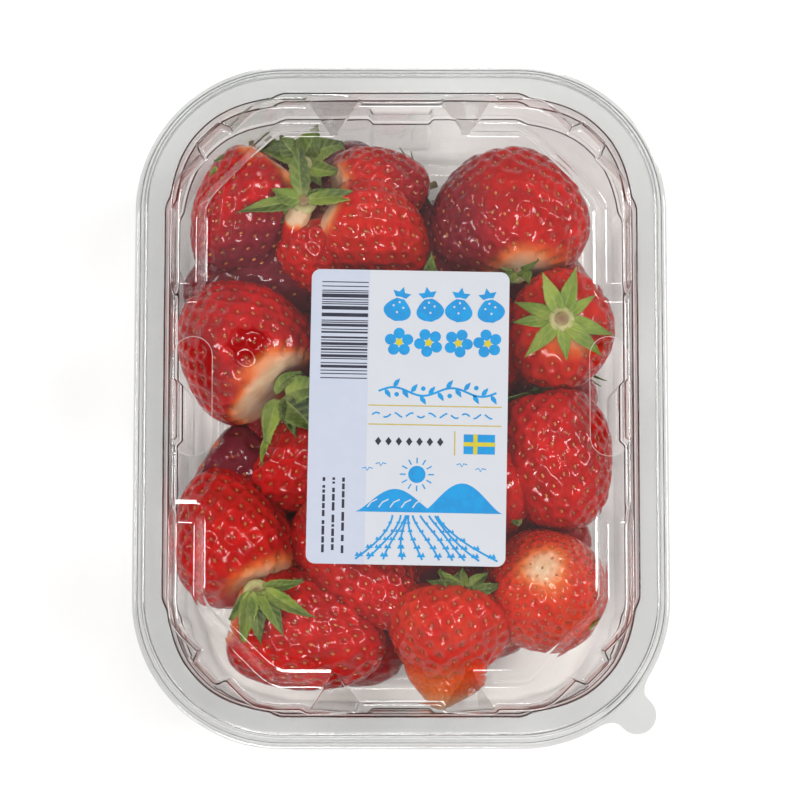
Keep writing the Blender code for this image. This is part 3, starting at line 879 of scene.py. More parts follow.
def point_normals(points, quads):
    """The outward direction at every point, from the faces round it."""
    face = np.cross(points[quads[:, 2]] - points[quads[:, 0]], points[quads[:, 3]] - points[quads[:, 1]])
    total = np.zeros_like(points)
    for corner in range(4):
        np.add.at(total, quads[:, corner], face)
    return total / np.maximum(np.linalg.norm(total, axis=1)[:, None], 1e-12)


def stand(made):
    """The turn of a berry in the pack, as a 3 x 3 array, and its middle."""
    turn, rise = math.radians(made["turn"]), math.radians(made["rise"])
    crown = np.array((math.cos(rise) * math.cos(turn), math.cos(rise) * math.sin(turn), math.sin(rise)))
    side = np.array((-math.sin(turn), math.cos(turn), 0.0))
    return np.column_stack((side, np.cross(crown, side), crown)), np.array(made["place"]) * MM


print("points on the finest ball:", len(even_ball(PLAIN["cuts"])[0]))

# %% [markdown]
# Growing a berry puts it all together: the skin, the seeds' places, a pit with a raised rim round each seed,
# and a number on every point for each of the colours. Most seeds are left out where the skin is pale beside
# the crown.

# %% Grow one berry
PIT_DEPTH, PIT_RADIUS, PIT_RIM = 0.00066, 0.00122, 0.00024
SWELL, RIPPLE = 0.00020, 0.00004
SEED_LIFT = 0.00016
SEED_SIZE = np.array((0.00040, 0.00030, 0.00062))
USUAL_GAP = 4.3


def paleness(made, ways, waves):
    """How pale the skin is, ragged round the crown and soft round the tip; and the raggedness."""
    around = np.arctan2(ways[:, 1], ways[:, 0])
    lean = 0.14 * np.cos(angle_gap(around, math.radians(made["pale_side"])))
    ragged = 0.035 * sum(np.sin(2.4 * ways @ wave[:3] + wave[3]) for wave in waves[:4])
    edge = 1.02 - 0.42 * made["pale"]
    crown_end = smoothstep(edge - 0.10, edge + 0.22, ways[:, 2] + lean + ragged)
    off_tip = np.arccos(np.clip(-ways[:, 2], -1.0, 1.0))
    tip_end = made["tip_pale"] * smoothstep(made["tip_reach"], 0.02, off_tip + 1.5 * ragged)
    return np.maximum(crown_end, tip_end), ragged


def grow(made, index):
    """One berry: skin points, quads and colour shares, and its seeds' places and turns, all in the pack."""
    chance = np.random.default_rng(4100 + index)
    waves = np.column_stack((chance.normal(0, 2.2, (6, 3)), chance.uniform(0, 6.3, 6)))
    ripples = np.column_stack((chance.normal(0, 13.0, (8, 3)), chance.uniform(0, 6.3, 8)))
    ways, quads = even_ball(made["cuts"])
    points = skin(ways, made, waves)
    out = point_normals(points, quads)
    seeds = seed_ways(made, chance.uniform(0, 6.3))
    seeds = seeds + chance.normal(0, 0.022, seeds.shape)
    seeds = seeds / np.linalg.norm(seeds, axis=1)[:, None]
    bare = (paleness(made, seeds, waves)[0] > 0.45) & (seeds[:, 2] > 0)
    seeds = seeds[~(bare & (chance.uniform(0, 1, len(seeds)) < 0.8))]
    seed_at = skin(seeds, made, waves)
    tipward = skin(seeds + np.array((0, 0, -0.02)), made, waves) - seed_at
    tipward = tipward / np.linalg.norm(tipward, axis=1)[:, None]
    small = min(1.0, made["gap"] / USUAL_GAP)
    size = small * chance.uniform(0.85, 1.12, len(seeds))
    pit, rim, far_off = np.zeros(len(points)), np.zeros(len(points)), np.full(len(points), 6.0)
    for at, way, share in zip(seed_at, tipward, size):
        apart = points - at
        far = np.sqrt(np.maximum((apart ** 2).sum(1) - 0.35 * (apart @ way) ** 2, 0.0)) / (PIT_RADIUS * share)
        close = far < 3.4
        pit[close] = np.maximum(pit[close], np.exp(-far[close] ** 2))
        rim[close] = np.maximum(rim[close], np.exp(-((far[close] - 1.7) / 0.5) ** 2))
        far_off = np.minimum(far_off, far)
    swell = SWELL * smoothstep(0.9, 3.0, far_off) + PIT_RIM * rim - PIT_DEPTH * pit
    ripple = RIPPLE * sum(np.sin(ways @ wave[:3] + wave[3]) for wave in ripples) / 2.0
    points = points + out * (small * swell + ripple)[:, None]
    pale, ragged = paleness(made, ways, waves)
    turn, middle = stand(made)
    # Painted shade darkens the skin to a purple red: all over a berry deep in the heap, and only on the given
    # side and underside where a side is given.
    dusk = np.full(len(points), float(made["dusk"]))
    if made["dusk_side"] is not None:
        side = math.radians(made["dusk_side"])
        towards = np.array((math.cos(side), math.sin(side), -0.35))
        reach = (points @ turn.T) @ towards / (made["width"] * MM / 2)
        dusk = dusk * smoothstep(-0.55, 0.55, reach + ragged)
    across = np.cross(tipward, seed_at / np.maximum(np.linalg.norm(seed_at, axis=1)[:, None], 1e-9))
    across = across / np.linalg.norm(across, axis=1)[:, None]
    upright = np.cross(across, tipward)
    frames = np.stack((across, upright, tipward), axis=2)
    sunk = seed_at - upright * (small * PIT_DEPTH - SEED_LIFT)
    return {
        "points": points @ turn.T + middle, "quads": quads,
        "shares": {"pale": pale, "pit": pit, "ripe": np.full(len(points), float(made["ripe"])), "dusk": dusk},
        "seed_at": sunk @ turn.T + middle, "seed_frames": turn[None] @ frames, "seed_size": size,
    }


# %% [markdown]
# A seed is a very small ball that is scaled into a grain. There are thousands, so its mesh is kept plain.

# %% Make a small closed ball for the seeds
def seed_ball(rings, sides):
    """A small closed ball about its own middle, longest along +Z once it is scaled."""
    points, faces = [(0, 0, 1)], []
    for ring in range(1, rings):
        polar = math.pi * ring / rings
        wide, height = math.sin(polar), math.cos(polar)
        turns = [2 * math.pi * side / sides for side in range(sides)]
        points += [(wide * math.cos(turn), wide * math.sin(turn), height) for turn in turns]
    points.append((0, 0, -1))
    for side in range(sides):
        after = (side + 1) % sides
        faces.append((0, 1 + side, 1 + after))
        for ring in range(rings - 2):
            low = 1 + ring * sides
            faces.append((low + side, low + sides + side, low + sides + after, low + after))
        faces.append((len(points) - 1, len(points) - 1 - sides + after, len(points) - 1 - sides + side))
    return np.array(points, float), faces


fine_ball, plain_ball = seed_ball(3, 6), seed_ball(3, 4)
print("faces of the two balls:", len(fine_ball[1]), len(plain_ball[1]))


# %% [markdown]
# The skin is red with a soft unevenness, more orange where it is less ripe and cream beside the crown. The
# pits are a little darker: partly the skin's own deeper red there and partly painted shade in the hollows.
# Some light enters the skin and comes out close by, which is what subsurface weight gives, and a thin wet
# shine lies on top.

# %% Make the berry, seed and leaf materials
flesh_paint, tree, shader = start_material("strawberry_skin", rough=0.06)
shader.inputs["IOR"].default_value = 1.45
shader.inputs["Subsurface Weight"].default_value = 0.10
shader.inputs["Subsurface Radius"].default_value = (1.0, 0.20, 0.12)
shader.inputs["Subsurface Scale"].default_value = 0.0018


def share_node(tree, name):
    """The number kept on the points under one name."""
    made = tree.nodes.new("ShaderNodeAttribute")
    made.attribute_name = name
    return made.outputs["Fac"]


def mix_colour(tree, share, first, second):
    """Blend two colours by a share, which is a socket; each colour is (r, g, b) or a socket."""
    made = tree.nodes.new("ShaderNodeMix")
    made.data_type = "RGBA"
    tree.links.new(share, made.inputs["Factor"])
    for colour, socket in ((first, made.inputs["A"]), (second, made.inputs["B"])):
        if isinstance(colour, tuple):
            socket.default_value = (*colour, 1.0)
        else:
            tree.links.new(colour, socket)
    return made.outputs["Result"]


def part_of(tree, share, low, high):
    """The share of the way from low to high, held between 0 and 1."""
    made = add_node(tree, "ShaderNodeMapRange", From_Min=low, From_Max=high)
    tree.links.new(share, made.inputs["Value"])
    return made.outputs["Result"]


ripe_red = use_mottle(tree, (0.23, 0.0010, 0.0026), (0.32, 0.0020, 0.0030), 130.0)
early_red = use_mottle(tree, (0.38, 0.014, 0.003), (0.43, 0.030, 0.006), 150.0)
cream = use_mottle(tree, (0.42, 0.26, 0.15), (0.46, 0.32, 0.21), 260.0)
red = mix_colour(tree, share_node(tree, "ripe"), early_red.outputs["Color"], ripe_red.outputs["Color"])
# Pits: a darker red, partly the skin's own and partly painted shade in each hollow.
red = mix_colour(tree, part_of(tree, share_node(tree, "pit"), 0.42, 1.6), red, (0.16, 0.0035, 0.002))
# Painted shade: where a berry lies in shade, its skin is darkened to a purple red.
red = mix_colour(tree, share_node(tree, "dusk"), red, (0.105, 0.008, 0.014))
blush = mix_colour(tree, part_of(tree, share_node(tree, "pale"), 0.0, 0.5), red, (0.46, 0.10, 0.022))
creamy = part_of(tree, share_node(tree, "pale"), 0.4, 1.0)
skin_colour = mix_colour(tree, creamy, blush, cream.outputs["Color"])
tree.links.new(skin_colour, shader.inputs["Base Color"])
use_relief(tree, shader, 900.0, 0.06, 0.0002)

seed_paint, tree, shader = start_material("seed_straw", rough=0.35)
paint_mottled(tree, shader, (0.40, 0.115, 0.016), (0.22, 0.052, 0.009), 380.0)

leaf_paint, tree, shader = start_material("leaf_green", rough=0.48)
shader.inputs["IOR"].default_value = 1.28
shader.inputs["Subsurface Weight"].default_value = 0.15
shader.inputs["Subsurface Radius"].default_value = (0.4, 1.0, 0.2)
shader.inputs["Subsurface Scale"].default_value = 0.0008
young_and_lit = use_mottle(tree, (0.085, 0.135, 0.010), (0.150, 0.190, 0.020), 160.0)
old = use_mottle(tree, (0.010, 0.022, 0.002), (0.030, 0.050, 0.004), 150.0)
# The share of the lighter green holds the leaf's youth and, on pressed leaves, painted light on one half.
green = mix_colour(tree, share_node(tree, "young_and_lit"), old.outputs["Color"], young_and_lit.outputs["Color"])
leaf_colour = mix_colour(tree, share_node(tree, "rib"), green, (0.21, 0.23, 0.07))
tree.links.new(leaf_colour, shader.inputs["Base Color"])
use_relief(tree, shader, 700.0, 0.35, 0.0003)

stalk_paint, tree, shader = start_material("stalk_pale", rough=0.5)
tone = use_mottle(tree, (0.30, 0.27, 0.11), (0.22, 0.21, 0.07), 300.0)
stalk_colour = mix_colour(tree, share_node(tree, "cut"), tone.outputs["Color"], (0.12, 0.055, 0.015))
tree.links.new(stalk_colour, shader.inputs["Base Color"])
use_relief(tree, shader, 500.0, 0.3, 0.0003)
print("materials:", len(bpy.data.materials))

# %% [markdown]
# Now every berry is grown. The top layer is joined in four groups, the berries that are mostly covered make
# a fifth, and the low ones a sixth.

# %% Grow the berries and their seeds
grown = [grow(made, index) for index, made in enumerate(ALL_BERRIES)]
FINE_CUTS = 30


def seeds_of(made, result):
    """The seeds of one berry; those of a coarse, hidden berry are plainer balls."""
    points, faces = fine_ball if made["cuts"] >= FINE_CUTS else plain_ball
    shapes = []
    for at, turn, size in zip(result["seed_at"], result["seed_frames"], result["seed_size"]):
        shapes.append(((points * SEED_SIZE * size) @ turn.T + at, faces))
    return shapes


SHARES = ("pale", "pit", "ripe", "dusk")
GROUPS = {
    "north_west": (0, 1, 9), "north_east": (2, 3, 4), "south_east": (5, 6, 11), "south_west": (7, 8, 10),
    "covered": range(len(TOP_BERRIES), len(TOP_BERRIES) + len(COVERED_BERRIES)),
    "below": range(len(TOP_BERRIES) + len(COVERED_BERRIES), len(ALL_BERRIES)),
}
for name, members in GROUPS.items():
    shapes = [(grown[index]["points"], grown[index]["quads"], grown[index]["shares"]) for index in members]
    piece = join_up("berries_" + name, shapes, flesh_paint, SHARES)
    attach(piece, "root")
    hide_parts("berries")
seed_shapes = [shape for made, result in zip(ALL_BERRIES, grown) for shape in seeds_of(made, result)]
seeds = join_up("seeds", seed_shapes, seed_paint)
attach(seeds, "root")
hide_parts("berries")
print("seeds:", len(seed_shapes))

# %% [markdown]
# Under the fruit lies a plain core, painted a dark purple red as shade. It stands for the crushed and shaded
# fruit that no gap lets one see clearly, and it keeps the pale floor from shining up between the berries.

# %% Fill the heart of the heap
CORE_HALF, CORE_HEIGHT, CORE_CUTS = (40.0, 60.0, 6.5), 17.0, 26
ways, quads = even_ball(CORE_CUTS)
bulge = 1.0 + 0.05 * np.sin(9.0 * ways[:, 0] + 2.0) * np.sin(11.0 * ways[:, 1])
square = np.sign(ways) * np.abs(ways) ** 0.6 * bulge[:, None]
core_points = (square * np.array(CORE_HALF) + np.array((0.0, 0.0, CORE_HEIGHT))) * MM
none = np.zeros(len(ways))
# The core is painted nearly full shade.
plain = {"pale": none, "pit": none, "ripe": none + 1.0, "dusk": none + 0.9}
core = join_up("heap_core", [(core_points, quads, plain)], flesh_paint, SHARES)
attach(core, "root")
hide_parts("berries")
print("core points:", len(core_points))

# %% [markdown]
# ## Leafy crowns
# A crown is a green star of narrow leaves round a stub of stalk. A leaf is a strip, widest below its middle
# and folded a little along its rib. It leans with the berry's shoulder and curls towards its point.

# %% Grow the crowns
ACROSS = (-1.0, -0.7, -0.4, -0.1, 0.0, 0.1, 0.4, 0.7, 1.0)


def veins(share, across):
    """How light the leaf is at one spot: its rib, its side veins and its thin edge."""
    rib = 0.8 * (1.0 - 0.6 * share) * (abs(across) < 0.05)
    side = 0.30 * (math.sin(2 * math.pi * (6.0 * share - 1.1 * abs(across))) > 0.55)
    return max(rib, side * (abs(across) < 0.9), 0.9 * (abs(across) - 0.75), 0.8 - 5.0 * share)


def strip_faces(steps):
    """The quads of a leaf's strip."""
    wide = len(ACROSS)
    return [(row * wide + side, (row + 1) * wide + side, (row + 1) * wide + side + 1, row * wide + side + 1)
            for row in range(steps) for side in range(wide - 1)]


def leaf_half(share):
    """Half the width of a leaf at a share of its length: widest below its middle, with a broad foot."""
    return math.sin(math.pi * share ** 0.66) ** 1.1 + 0.28 * (1 - share) ** 2


def shoulder(made, around):
    """Reach and height of the bare skin beside the crown, in one direction, in millimetres."""
    polar = np.linspace(0.02, 1.55, 40)
    outward = np.sin(polar)
    ways = np.column_stack((outward * math.cos(around), outward * math.sin(around), np.cos(polar)))
    line = skin(ways, dict(made, lumps=0.0), [np.zeros(4)]) / MM
    return np.hypot(line[:, 0], line[:, 1]), line[:, 2]


def leaf_shape(made, around, length, width, lift, curl, fold):
    """Points of one leaf that runs out along +X over the berry's shoulder, with the share of its rib."""
    reach, skin_height = shoulder(made, around)
    steps = made["leaf_steps"]
    points, rib = [], []
    along, height = 1.4, 0.0
    for step in range(steps + 1):
        share = step / steps
        slope = math.radians(lift + curl * share * share)
        half = width / 2 * leaf_half(share)
        if step == 0:
            height = np.interp(along, reach, skin_height) + 0.7
        elif along < reach.max():
            height = max(height, np.interp(along, reach, skin_height) + 0.5)
        for across in ACROSS:
            points.append((along, half * across, height + fold * half * abs(across) ** 1.3))
            rib.append(veins(share, across))
        along += length / steps * math.cos(slope)
        height += length / steps * math.sin(slope)
    return np.array(points) * MM, strip_faces(steps), np.array(rib)


def turn_about_z(angle):
    """A turn about +Z, as a 3 x 3 array."""
    c, s = math.cos(angle), math.sin(angle)
    return np.array(((c, -s, 0), (s, c, 0), (0, 0, 1)))


def stub_shape(radius, tall, sides=14):
    """A short stalk with a wider foot and a slightly dished cut end."""
    rows = ((3.4, 0.1), (3.1, 0.9), (2.3, 1.1), (1.25, 1.2), (1.0, 1.4), (1.0, 1.3 + tall),
            (0.35, 1.1 + tall))
    points = []
    for wide, height in rows:
        reach = wide * radius if wide <= 1.3 else wide * 1.1
        turns = [2 * math.pi * side / sides for side in range(sides)]
        points += [(reach * math.cos(turn), reach * math.sin(turn), height) for turn in turns]
    faces = [(row * sides + side, row * sides + (side + 1) % sides,
              (row + 1) * sides + (side + 1) % sides, (row + 1) * sides + side)
             for row in range(len(rows) - 1) for side in range(sides)]
    faces.append(tuple((len(rows) - 1) * sides + side for side in range(sides)))
    cut = np.repeat((0.0, 0.0, 0.1, 0.4, 0.5, 0.6, 1.0), sides)
    return np.array(points) * MM, faces, {"cut": cut}


def crown(made, index):
    """The leaves and the stub of one berry, placed in the pack."""
    if not made["sepals"]:
        return [], []
    chance = random.Random(900 + index)
    turn, middle = stand(made)
    root = np.array((0, 0, made["length"] * (0.5 - made["dip"]) + 0.2)) * MM
    leaves = []
    for number in range(made["sepals"]):
        around = 2 * math.pi * (number + chance.uniform(-0.22, 0.22)) / made["sepals"]
        length = made["leaf"] * chance.uniform(0.78, 1.08)
        width = length * chance.uniform(0.27, 0.34)
        lift, curl = made["lift"] + chance.uniform(-8, 10), made["curl"] + chance.uniform(-9, 14)
        fold = chance.uniform(0.10, 0.35)
        points, faces, rib = leaf_shape(made, around, length, width, lift, curl, fold)
        points = points + np.array((0, 0, chance.uniform(0.0, 0.0004)))
        placed = (points @ turn_about_z(around).T) @ turn.T + middle
        foot = np.linspace(0.18, -0.18, len(points))
        young_and_lit = np.clip(made["tone"] + chance.uniform(-0.12, 0.12) + foot, 0.0, 1.0)
        leaves.append((placed, faces, {"young_and_lit": young_and_lit, "rib": rib}))
    radius, tall = made["stalk"]
    points, faces, shares = stub_shape(radius, tall)
    return leaves, [((points + root) @ turn.T + middle, faces, shares)]


leaf_shapes, stub_shapes = [], []
for index, made in enumerate(ALL_BERRIES):
    leaves, stubs = crown(made, index)
    leaf_shapes += leaves
    stub_shapes += stubs
print("leaves on evenly grown crowns:", len(leaf_shapes))

# %% [markdown]
# Several berries show crowns that were pressed out of shape in the pack. Their leaves are laid one by one,
# each from its root to its tip with an arch between them.

# %% Lay the pressed leaves one by one
PRESSED_LEAVES = (
    # root, tip, width, arch, youth
    ((-26.5, 57.0, 44), (-27.3, 72.3, 46.5), 4.9, 1.0, 0.20),
    ((-27.5, 55.5, 44), (-44.5, 51.8, 46.3), 3.8, 1.8, 0.30),
    ((-27.0, 56.0, 44), (-35.0, 58.8, 46), 4.6, 0.8, 0.65),
    ((-25.5, 56.0, 44), (-8.4, 57.0, 46.5), 4.0, 0.6, 0.50),
    ((-25.7, 57.0, 43), (-18.5, 59.4, 44), 3.0, 0.8, 0.25),
    ((-28.0, 54.5, 42), (-35.2, 49.0, 38), 3.2, 1.0, 0.20),
    ((-27.5, 68.0, 38), (-38.5, 70.5, 39), 5.0, 2.0, 0.10),
    ((-27.5, 68.5, 38), (-33.0, 75.0, 41), 5.5, 2.0, 0.05),
    ((-27.0, 68.5, 38), (-22.5, 77.0, 41), 6.0, 2.0, 0.10),
    ((-27.0, 68.0, 37), (-15.5, 72.0, 40), 6.0, 2.0, 0.15),
    ((-27.0, 67.0, 37), (-17.0, 65.0, 38), 4.5, 1.5, 0.55),
    ((-27.5, 67.0, 38), (-21.5, 61.0, 36), 4.5, 1.0, 0.65),
    ((-50.0, 66.5, 37), (-53.0, 62.0, 34), 2.2, 0.5, 0.50),
    ((-46.0, 69.5, 37), (-51.0, 68.5, 36), 2.0, 0.5, 0.50),
    ((-31.0, 3.0, 43), (-20.5, 5.5, 46), 6.4, 1.0, 0.55),
    ((-31.5, 1.5, 43), (-22.5, -7.5, 43), 8.0, 2.0, 0.05),
    ((-33.0, 1.5, 43), (-35.8, -10.5, 43), 4.8, 1.5, 0.70),
    ((-34.8, -7.5, 43), (-37.3, -16.0, 38), 1.7, 0.5, 0.90),
    ((-30.0, 3.0, 42), (-28.0, -9.0, 43), 5.0, 2.0, 0.15),
    ((-34.0, 3.5, 42), (-26.5, 8.5, 45), 3.0, 0.8, 0.40),
    ((-39.7, -50.5, 46), (-42.0, -64.3, 45.0), 4.6, 1.2, 0.75),
    ((-38.6, -50.5, 46), (-37.0, -65.2, 46.8), 4.8, 1.5, 0.15),
    ((-37.2, -50.5, 46), (-31.0, -63.0, 47.8), 4.4, 1.5, 0.45),
    ((-36.2, -50.0, 46), (-22.5, -57.9, 48.0), 3.6, 1.2, 0.55),
    ((-37.0, -49.5, 45), (-26.0, -47.6, 46), 3.0, 1.0, 0.05),
    ((-40.0, -51.0, 45), (-45.5, -58.0, 42), 3.0, 1.0, 0.65),
    ((31.0, 38.3, 38), (24.0, 39.4, 40), 3.2, 1.0, 0.45),
    ((31.0, 37.6, 38), (26.5, 34.5, 39), 3.2, 1.0, 0.40),
    ((32.0, 38.2, 38), (37.0, 40.2, 42), 3.2, 0.8, 0.60),
    ((32.0, 37.6, 38), (34.5, 33.5, 40), 3.0, 0.8, 0.50),
    ((9.0, 29.5, 43), (8.3, 41.2, 46), 4.0, 0.8, 0.65),
    ((16.5, -49.5, 42), (6.8, -47.2, 43), 3.4, 1.0, 0.15),
    ((16.0, -49.5, 42), (10.0, -44.8, 44), 3.2, 1.0, 0.30),
    ((16.8, -49.0, 42), (16.5, -43.8, 44), 3.4, 1.0, 0.15),
    ((17.5, -49.5, 42), (23.5, -45.0, 43), 3.2, 1.0, 0.30),
    ((18.0, -49.8, 42), (27.5, -47.6, 42), 3.0, 1.0, 0.10),
    ((50.0, -59.5, 37), (53.4, -56.4, 35), 1.8, 0.4, 0.15),
    ((32.0, -31.5, 36), (28.0, -28.5, 38), 3.0, 0.6, 0.20),
    ((-30.5, 70.0, 34), (-26.5, 77.0, 27), 5.0, 1.0, 0.35),
    ((-31.5, 70.0, 34), (-36.5, 76.5, 28), 5.0, 1.0, 0.15),
    ((-30.0, 69.0, 33), (-21.0, 74.0, 25), 5.0, 1.0, 0.25),
)
PRESSED_STUBS = (
    # x, y, z, radius, height
    (-26.3, 55.8, 42.5, 1.5, 0.6), (-27.2, 68.0, 38.0, 1.3, 0.8), (31.2, 38.0, 37.0, 1.2, 0.6),
    (-38.4, -50.8, 44.0, 1.2, 0.3), (16.8, -49.8, 39.5, 1.2, 0.4),
)


def pressed_leaf(root, tip, width, arch, youth, chance, steps=18):
    """One leaf from root to tip, widest below its middle, a little bent aside and folded along its rib, with
    one half painted lighter as if lit and the other darker as if shaded.
    """
    root, along = np.array(root), np.array(tip) - np.array(root)
    side = np.array((-along[1], along[0], 0.0)) / np.hypot(along[0], along[1])
    bend, crease, roll = chance.uniform(-1.0, 1.0), chance.uniform(0.20, 0.55), chance.uniform(-0.4, 0.4)
    torn, painted_light_half = chance.choice((0.0, 0.0, 0.25, 0.4)), chance.choice((-0.22, 0.22))
    points, rib, young_and_lit = [], [], []
    for step in range(steps + 1):
        share = step / steps
        rise = 4.0 * share * (1.0 - share)
        half = width / 2 * (leaf_half(share) + torn * share ** 4)
        middle = root + along * share + side * bend * rise + np.array((0.0, 0.0, arch * rise))
        for across in ACROSS:
            height = half * (crease * abs(across) ** 1.3 + roll * across)
            height += 0.25 * math.sin(8 * share + 3 * across)
            tooth = 1.0 + 0.07 * (-1) ** step * (abs(across) > 0.9)
            points.append(middle + side * half * across * tooth + np.array((0.0, 0.0, height)))
            rib.append(veins(share, across))
            # Painted light: one half of the leaf, beside its rib, is lighter as if lit and the other darker
            # as if shaded.
            young_and_lit.append(min(1.0, max(0.0, youth + 0.25 - 0.5 * share + painted_light_half * (1 if across > 0 else -1))))
    return np.array(points) * MM, strip_faces(steps), {"young_and_lit": np.array(young_and_lit), "rib": np.array(rib)}


LEAF_SHEET = 0.00022
pressing = random.Random(77)
for root, tip, width, arch, youth in PRESSED_LEAVES:
    leaf_shapes.append(pressed_leaf(root, tip, width, arch, youth, pressing))
for x, y, z, radius, tall in PRESSED_STUBS:
    points, faces, shares = stub_shape(radius, tall)
    stub_shapes.append((points + np.array((x, y, z)) * MM, faces, shares))
leaves = join_up("leaves", leaf_shapes, leaf_paint, ("young_and_lit", "rib"))
thicken(leaves, LEAF_SHEET)
stubs = join_up("stalks", stub_shapes, stalk_paint, ("cut",))
for piece in (leaves, stubs):
    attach(piece, "root")
    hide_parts("berries")
print("leaves in all:", len(leaf_shapes))

# %% [markdown]
# ## Label
# A coated paper label is stuck on the raised middle, a little askew. Its print is built from thin films laid
# on the paper, one piece for each ink, so that the shapes stay crisp at any size. The design is a made-up
# one: striped marks on a lilac edge, two rows of fruit and blossom, rules, a small flag and a field in blue.

# %% Set up the label's own sheet coordinates
LABEL_TURN = math.radians(-1.07)
LABEL_MIDDLE = Vector((0.0019, -0.0046))
LABEL_WIDE, LABEL_TALL, LABEL_ROUND = 52.9, 79.4, 2.4
LABEL_BASE = PANEL_Z + 0.00004
PAPER, INK, HAIR = 0.00014, 0.00003, 0.000004
prints = {"blue": [], "ochre": [], "dark": [], "yellow": [], "lilac": [], "white": []}


def arc(x, y, radius, start, end, steps=10):
    """Points on an arc, in degrees, anticlockwise if end is larger than start."""
    turns = [math.radians(start + (end - start) * step / steps) for step in range(steps + 1)]
    return [(x + radius * math.cos(turn), y + radius * math.sin(turn)) for turn in turns]


def block(left, low, right, high):
    """A rectangle."""
    return [(left, low), (right, low), (right, high), (left, high)]


def round_block(left, low, right, high, radius):
    """A rectangle with round corners."""
    middles = ((right - radius, low + radius), (right - radius, high - radius),
               (left + radius, high - radius), (left + radius, low + radius))
    return [spot for quarter, (x, y) in enumerate(middles)
            for spot in arc(x, y, radius, 90 * quarter - 90, 90 * quarter)]


def spun(outline, turn, x=0.0, y=0.0, scale=1.0):
    """The outline turned by some degrees, scaled and then moved."""
    c, s = math.cos(math.radians(turn)) * scale, math.sin(math.radians(turn)) * scale
    return [(x + u * c - v * s, y + u * s + v * c) for u, v in outline]


def band(line, wide):
    """A strip of constant width along a line of points."""
    line = [Vector(spot) for spot in line]
    left, right = [], []
    for step, here in enumerate(line):
        along = line[min(step + 1, len(line) - 1)] - line[max(step - 1, 0)]
        side = Vector((-along.y, along.x)).normalized() * wide / 2
        left.append(tuple(here + side))
        right.append(tuple(here - side))
    return right + left[::-1]


def film(name, outlines, paint, low, high):
    """Flat outlines in label millimetres as one piece of thin prisms, their tops a hair apart."""
    c, s = math.cos(LABEL_TURN), math.sin(LABEL_TURN)
    shapes = []
    for number, outline in enumerate(outlines):
        area = sum(a[0] * b[1] - b[0] * a[1] for a, b in zip(outline, outline[1:] + outline[:1]))
        ring = outline if area > 0 else outline[::-1]
        flat = [(LABEL_MIDDLE.x + (u * c - v * s) * MM, LABEL_MIDDLE.y + (u * s + v * c) * MM)
                for u, v in ring]
        lift = high + number % 7 * HAIR
        points = np.array([(x, y, low) for x, y in flat] + [(x, y, lift) for x, y in flat])
        shapes.append((points, prism_faces(len(flat))))
    made = join_up(name, shapes, paint, smooth=False)
    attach(made, "root")
    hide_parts("label")
    return made


print("label, in mm:", LABEL_WIDE, LABEL_TALL)

# %% [markdown]
# The striped marks stand where a shop's scanner mark would be. Their widths come from a seeded shuffle, so
# they carry no number. The little ticks below them stand for small print without being letters.

# %% Draw the lilac edge, the stripes and the ticks
EDGE_RIGHT = -10.9
half_wide, half_tall = LABEL_WIDE / 2, LABEL_TALL / 2
prints["lilac"].append(
    arc(-half_wide + LABEL_ROUND, half_tall - LABEL_ROUND, LABEL_ROUND - 0.05, 90, 180)
    + arc(-half_wide + LABEL_ROUND, -half_tall + LABEL_ROUND, LABEL_ROUND - 0.05, 180, 270)
    + [(EDGE_RIGHT, -half_tall + 0.05), (EDGE_RIGHT, half_tall - 0.05)]
)
stripe_chance = random.Random(31)
here = 36.4
while here > 9.6:
    thick = stripe_chance.choice((0.26, 0.26, 0.5, 0.75, 1.0))
    prints["dark"].append(block(-23.6, here - thick, -11.2, here))
    here -= thick + stripe_chance.choice((0.26, 0.42, 0.6, 0.9))
for column in range(3):
    here = -16.6
    while here > -36.0:
        long = stripe_chance.uniform(0.5, 2.4)
        prints["dark"].append(block(-17.2 - column * 2.6, here - long, -16.5 - column * 2.6, here))
        here -= long + stripe_chance.choice((0.45, 0.45, 1.1))
print("dark marks:", len(prints["dark"]))

# %% [markdown]
# Two rows of simple shapes fill the place of a title: ripe fruit above and open blossoms below.

# %% Draw the fruit row and the blossom row
def fruit(x, y, scale, turn):
    """A heart-shaped fruit with seed specks left white and three leaves on top."""
    body = [(0.0, -4.1)]
    for step in range(1, 12):
        t = step / 12
        body.append((3.3 * math.sin(math.pi * t ** 0.75) ** 0.8, -4.1 + 6.1 * t))
    body += [(-u, v) for u, v in reversed(body[1:])]
    prints["blue"].append(spun(body, turn, x, y, scale))
    for u, v in ((0.0, -1.9), (-1.2, -0.5), (1.2, -0.5), (0.0, 0.6), (-2.0, 0.9), (2.0, 0.9)):
        prints["white"].append(spun(arc(u, v, 0.27, 0, 360, 8)[:-1], turn, x, y, scale))
    for lean in (-62, 0, 62):
        blade = [(0.0, 0.0), (0.75, 1.0), (0.0, 2.5), (-0.75, 1.0)]
        prints["blue"].append(spun(spun(blade, lean, 0, 1.95), turn, x, y, scale))


def blossom(x, y, scale, turn):
    """Five round petals about a yellow middle."""
    for petal in range(5):
        shape = spun(arc(0, 2.25, 1.38, -70, 250, 12) + [(0.0, 0.7)], petal * 72)
        prints["blue"].append(spun(shape, turn, x, y, scale))
    prints["yellow"].append(arc(x, y, 0.85 * scale, 0, 360, 14)[:-1])


for number, lean in enumerate((-14, 9, -7, 12)):
    fruit(-3.0 + number * 8.1, 30.4, 1.12, lean)
for number, turn in enumerate((0, 25, 48, 12)):
    blossom(-2.8 + number * 7.9, 20.2, 1.08, turn)
print("blue shapes so far:", len(prints["blue"]))

# %% [markdown]
# A garland, two ochre rules with a fine wave between them, a few dark lozenges and a small flag come next.

